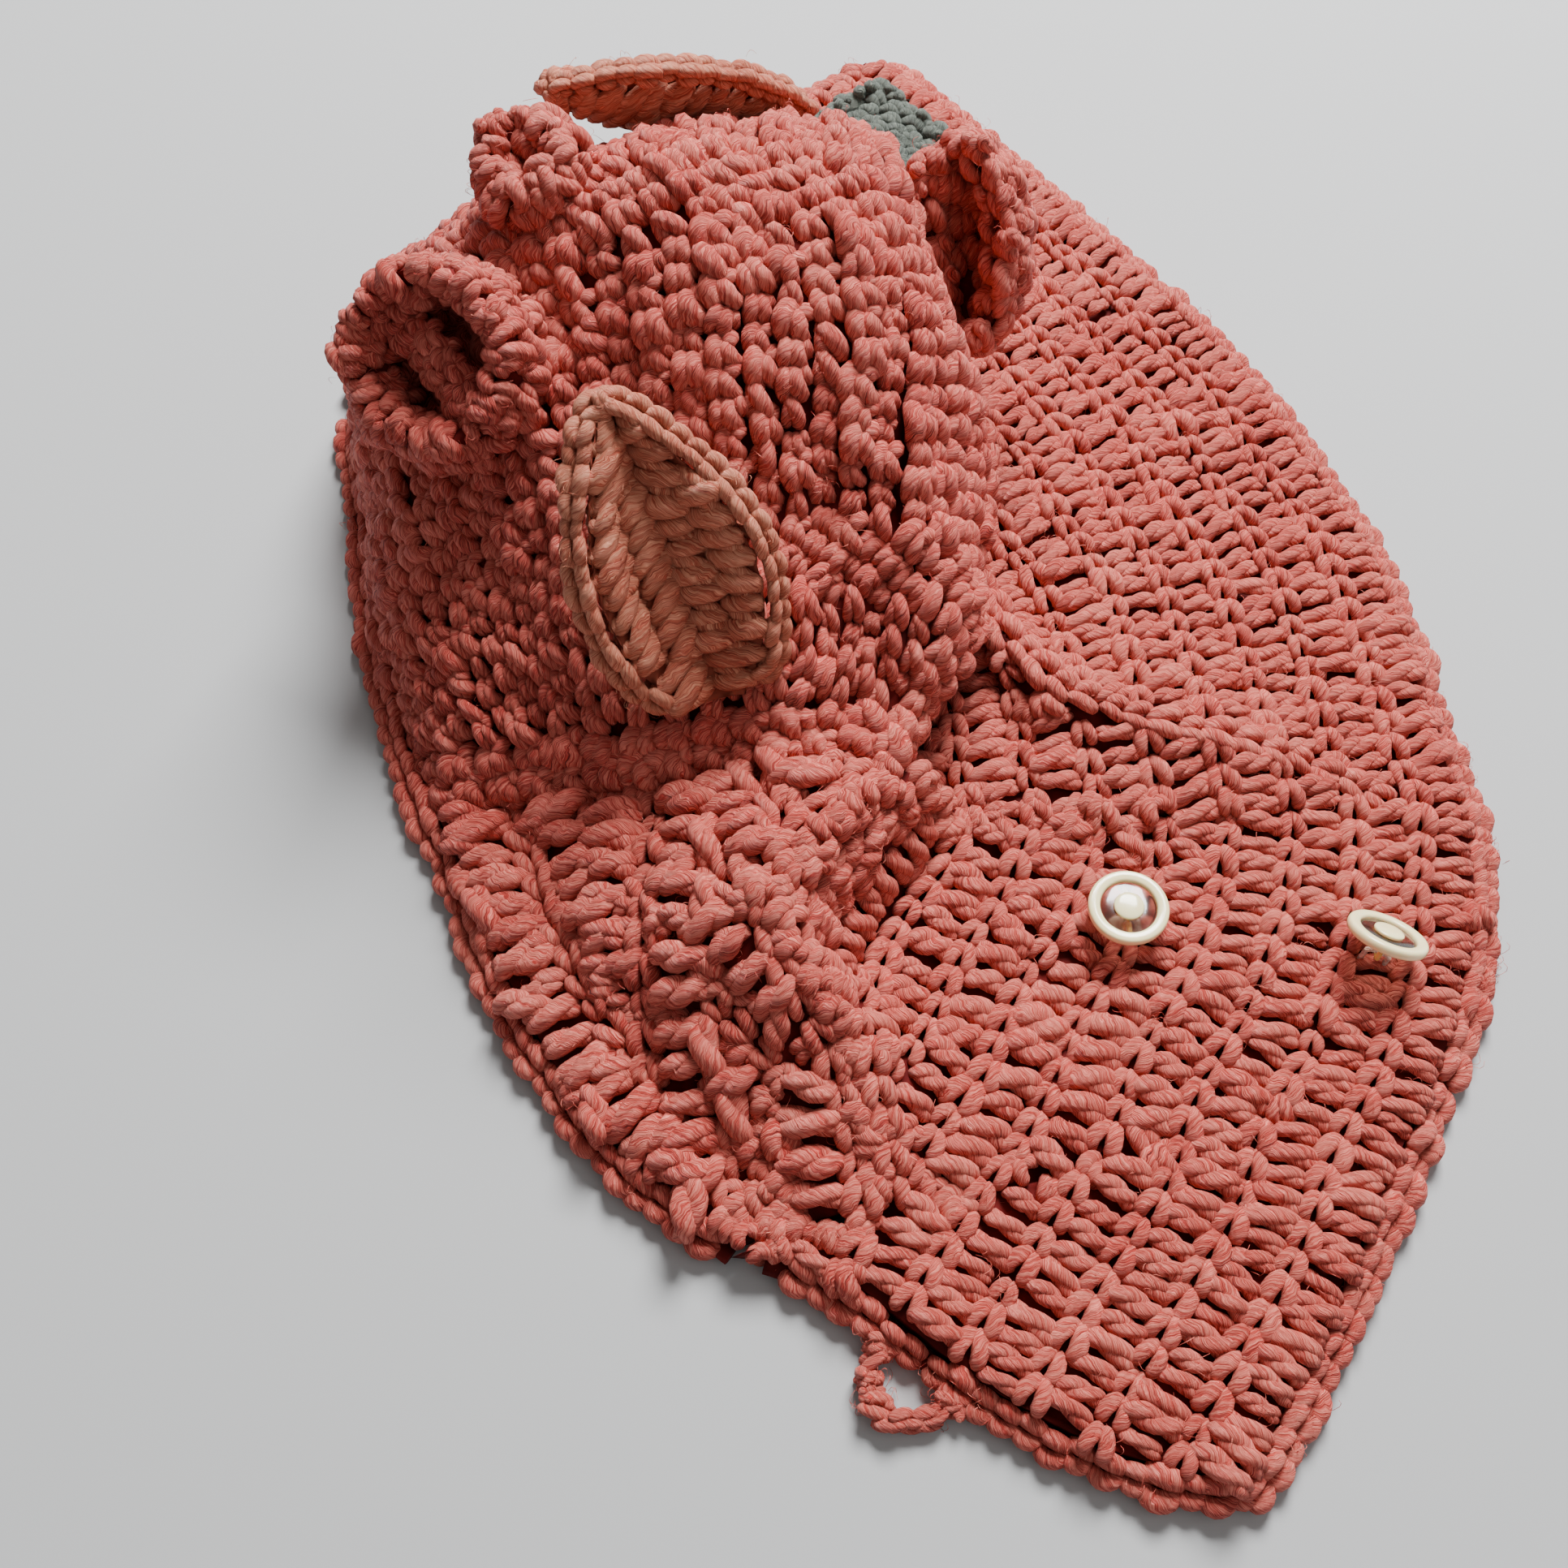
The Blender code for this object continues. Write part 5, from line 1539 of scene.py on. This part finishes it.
    # The hood.
    grid, lengths = hood_surface(("hood_shell", "hood_brim"))
    grid = wave_hood(grid)
    hood = Surface(grid)
    opening, crown, foot = Places(), Places(), Places()
    lay_hood(hood, lengths, lambda k: opening if k < 11 else crown if k < 21 else foot)
    hood_pieces = [finish("hood_opening_stitches", opening, "cape"), finish("hood_crown_stitches", crown, "cape"),
                   finish("hood_foot_stitches", foot, "cape")]
    seam = Places()
    for row, up in ((0.2, 0.5), (2.4, 1.6)):
        columns = np.arange(4.0, grid.shape[1] - 2, 7.4 * MM / (lengths[0] / grid.shape[1]))
        here, across, along, normal = hood.frames(np.full(len(columns), row), columns)
        normal = unit(normal * up + np.array([[0, -1.0, 0.2]]))
        normal = unit(normal - along * (normal * along).sum(1, keepdims=True))
        seam.add("lump_turned", here - normal * 1.5 * MM, along, np.cross(normal, along), normal, (1.0, 1.05, 1.0),
                 lean=0.25)
    hood_pieces.append(finish("hood_seam_stitches", seam, "cape"))
    inner_grid, inner_lengths = hood_surface(("hood_shell",), inner=True)
    lining = Places()
    lay_hood(Surface(inner_grid), inner_lengths, lambda k: lining, 20, -1.0, inner=True)
    hood_pieces.append(finish("hood_inner_stitches", lining, "cape"))

    # Ears.
    for side in ("near", "far"):
        joint, node_name = f"{side}_ear_flop", f"ear_{side}"
        face, reverse = ear_grid(joint, node_name)
        leaf = Places()
        lay_ear(leaf, face, 1.0 if ear_faces(face, joint, node_name) else -1.0, 1.0)
        lay_ear(leaf, reverse, -1.0 if ear_faces(face, joint, node_name) else 1.0, 1.0)
        leaf_stitches = finish(f"{node_name}_stitches", leaf, f"{side}_ear", slot="peach yarn", yarn=peach)
        edge = Places()
        lay_ear_edge(edge, f"{node_name}_edge", joint)
        finish(f"{node_name}_chain", edge, f"{side}_ear", (f"{node_name}_edge",), "peach yarn", peach)
        cloth = under_cloth(f"{node_name}_cloth", (node_name,), 1.1 * MM, under_peach)
        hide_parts(node_name)
        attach(cloth, f"{side}_ear")
        declare_cloth(cloth)

    # Horns, the curled brim, the patch and the button loop.
    for side, step in (("near", 6.4 * MM), ("far", 5.8 * MM)):
        horn = Places()
        lay_over(horn, f"horn_{side}", (0, 0, 1), step, ("lump", "rib", "lump_turned"), 2.0 * MM, (0.95, 0.9, 1.0),
                 radial=True)
        if side == "near":
            lay_bar(horn, f"horn_{side}")
        finish(f"horn_{side}_stitches", horn, "cape")
    curl = Places()
    lay_over(curl, "brim_curl", (-0.1, 0.45, 0.8), 6.0 * MM, ("rib", "lump", "lump_turned"), 1.6 * MM)
    finish("brim_curl_stitches", curl, "cape")
    patch = Places()
    lay_over(patch, "grey_patch", (0.6, -0.8, 0), 5.6 * MM, ("lump", "lump_turned"), 1.6 * MM, (0.85, 0.85, 0.9))
    finish("grey_patch_stitches", patch, "cape", slot="grey yarn", yarn=grey)
    loop = Places()
    lay_over(loop, "button_loop", (1, 0.2, 0), 4.6 * MM, ("chain", "rib"), 2.2 * MM, (0.8, 0.62, 0.66))
    finish("button_loop_stitches", loop, "corner", ("button_loop",))

    # The cloth under all of it.
    cloths = (
        ("edge_cloth", ("edge_chain_right", "edge_chain_left", "edge_chain_back"), 1.0 * MM, under, "coral yarn",
         "cape", None, []),
        ("corner_edge_cloth", ("edge_chain_corner",), 1.0 * MM, under, "coral yarn", "corner", None, []),
        ("hood_cloth", ("hood_shell",), 2.8 * MM, under, "coral yarn", "cape", None, hood_pieces),
        ("hood_brim_cloth", ("hood_brim",), 2.8 * MM, under, "coral yarn", "cape", None, []),
        ("brim_curl_cloth", ("brim_curl",), 1.4 * MM, under, "coral yarn", "cape", None, []),
        ("left_cloth", ("left_panel",), SINK, under, "coral yarn", "cape", wave, [left_stitches]),
        ("flap_cloth", ("front_flap",), SINK, under, "coral yarn", "cape", wave, [front_stitches]),
        ("corner_cloth", ("front_corner",), SINK, under, "coral yarn", "corner", wave, []),
        ("back_cloth", ("back_panel",), SINK, under, "coral yarn", "cape", wave, [back_stitches]),
        ("horn_near_cloth", ("horn_near",), 1.4 * MM, under, "coral yarn", "cape", None, []),
        ("horn_far_cloth", ("horn_far",), 1.4 * MM, under, "coral yarn", "cape", None, []),
        ("grey_patch_cloth", ("grey_patch",), 0.8 * MM, under_grey, "grey yarn", "cape", wave, []),
    )
    for name, replaced, sink, material, slot, body, lift, on_it in cloths:
        cloth = under_cloth(name, replaced, sink, material, lift, lift is not None or "edge" in name)
        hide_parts(*replaced)
        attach(cloth, body)
        if not name.startswith("horn") and "edge" not in name:
            declare_cloth(cloth)

    for number in (1, 2):
        build_button(number, cream, clear)
        for name, material in ((f"button_{number}_shank", amber), (f"thread_tie_{number}", thread)):
            nodes[name].data.materials.clear()
            nodes[name].data.materials.append(material)


def ear_faces(grid, joint_name, node_name):
    """Whether the grid's own normal points out of the ear's hollow face."""
    _, _, _, z = ear_frame(joint_name, node_name)
    _, _, _, normal = Surface(grid).frames(np.array([grid.shape[0] / 2]), np.array([grid.shape[1] / 2]))
    return float(normal[0] @ np.array(z)) > 0


main()
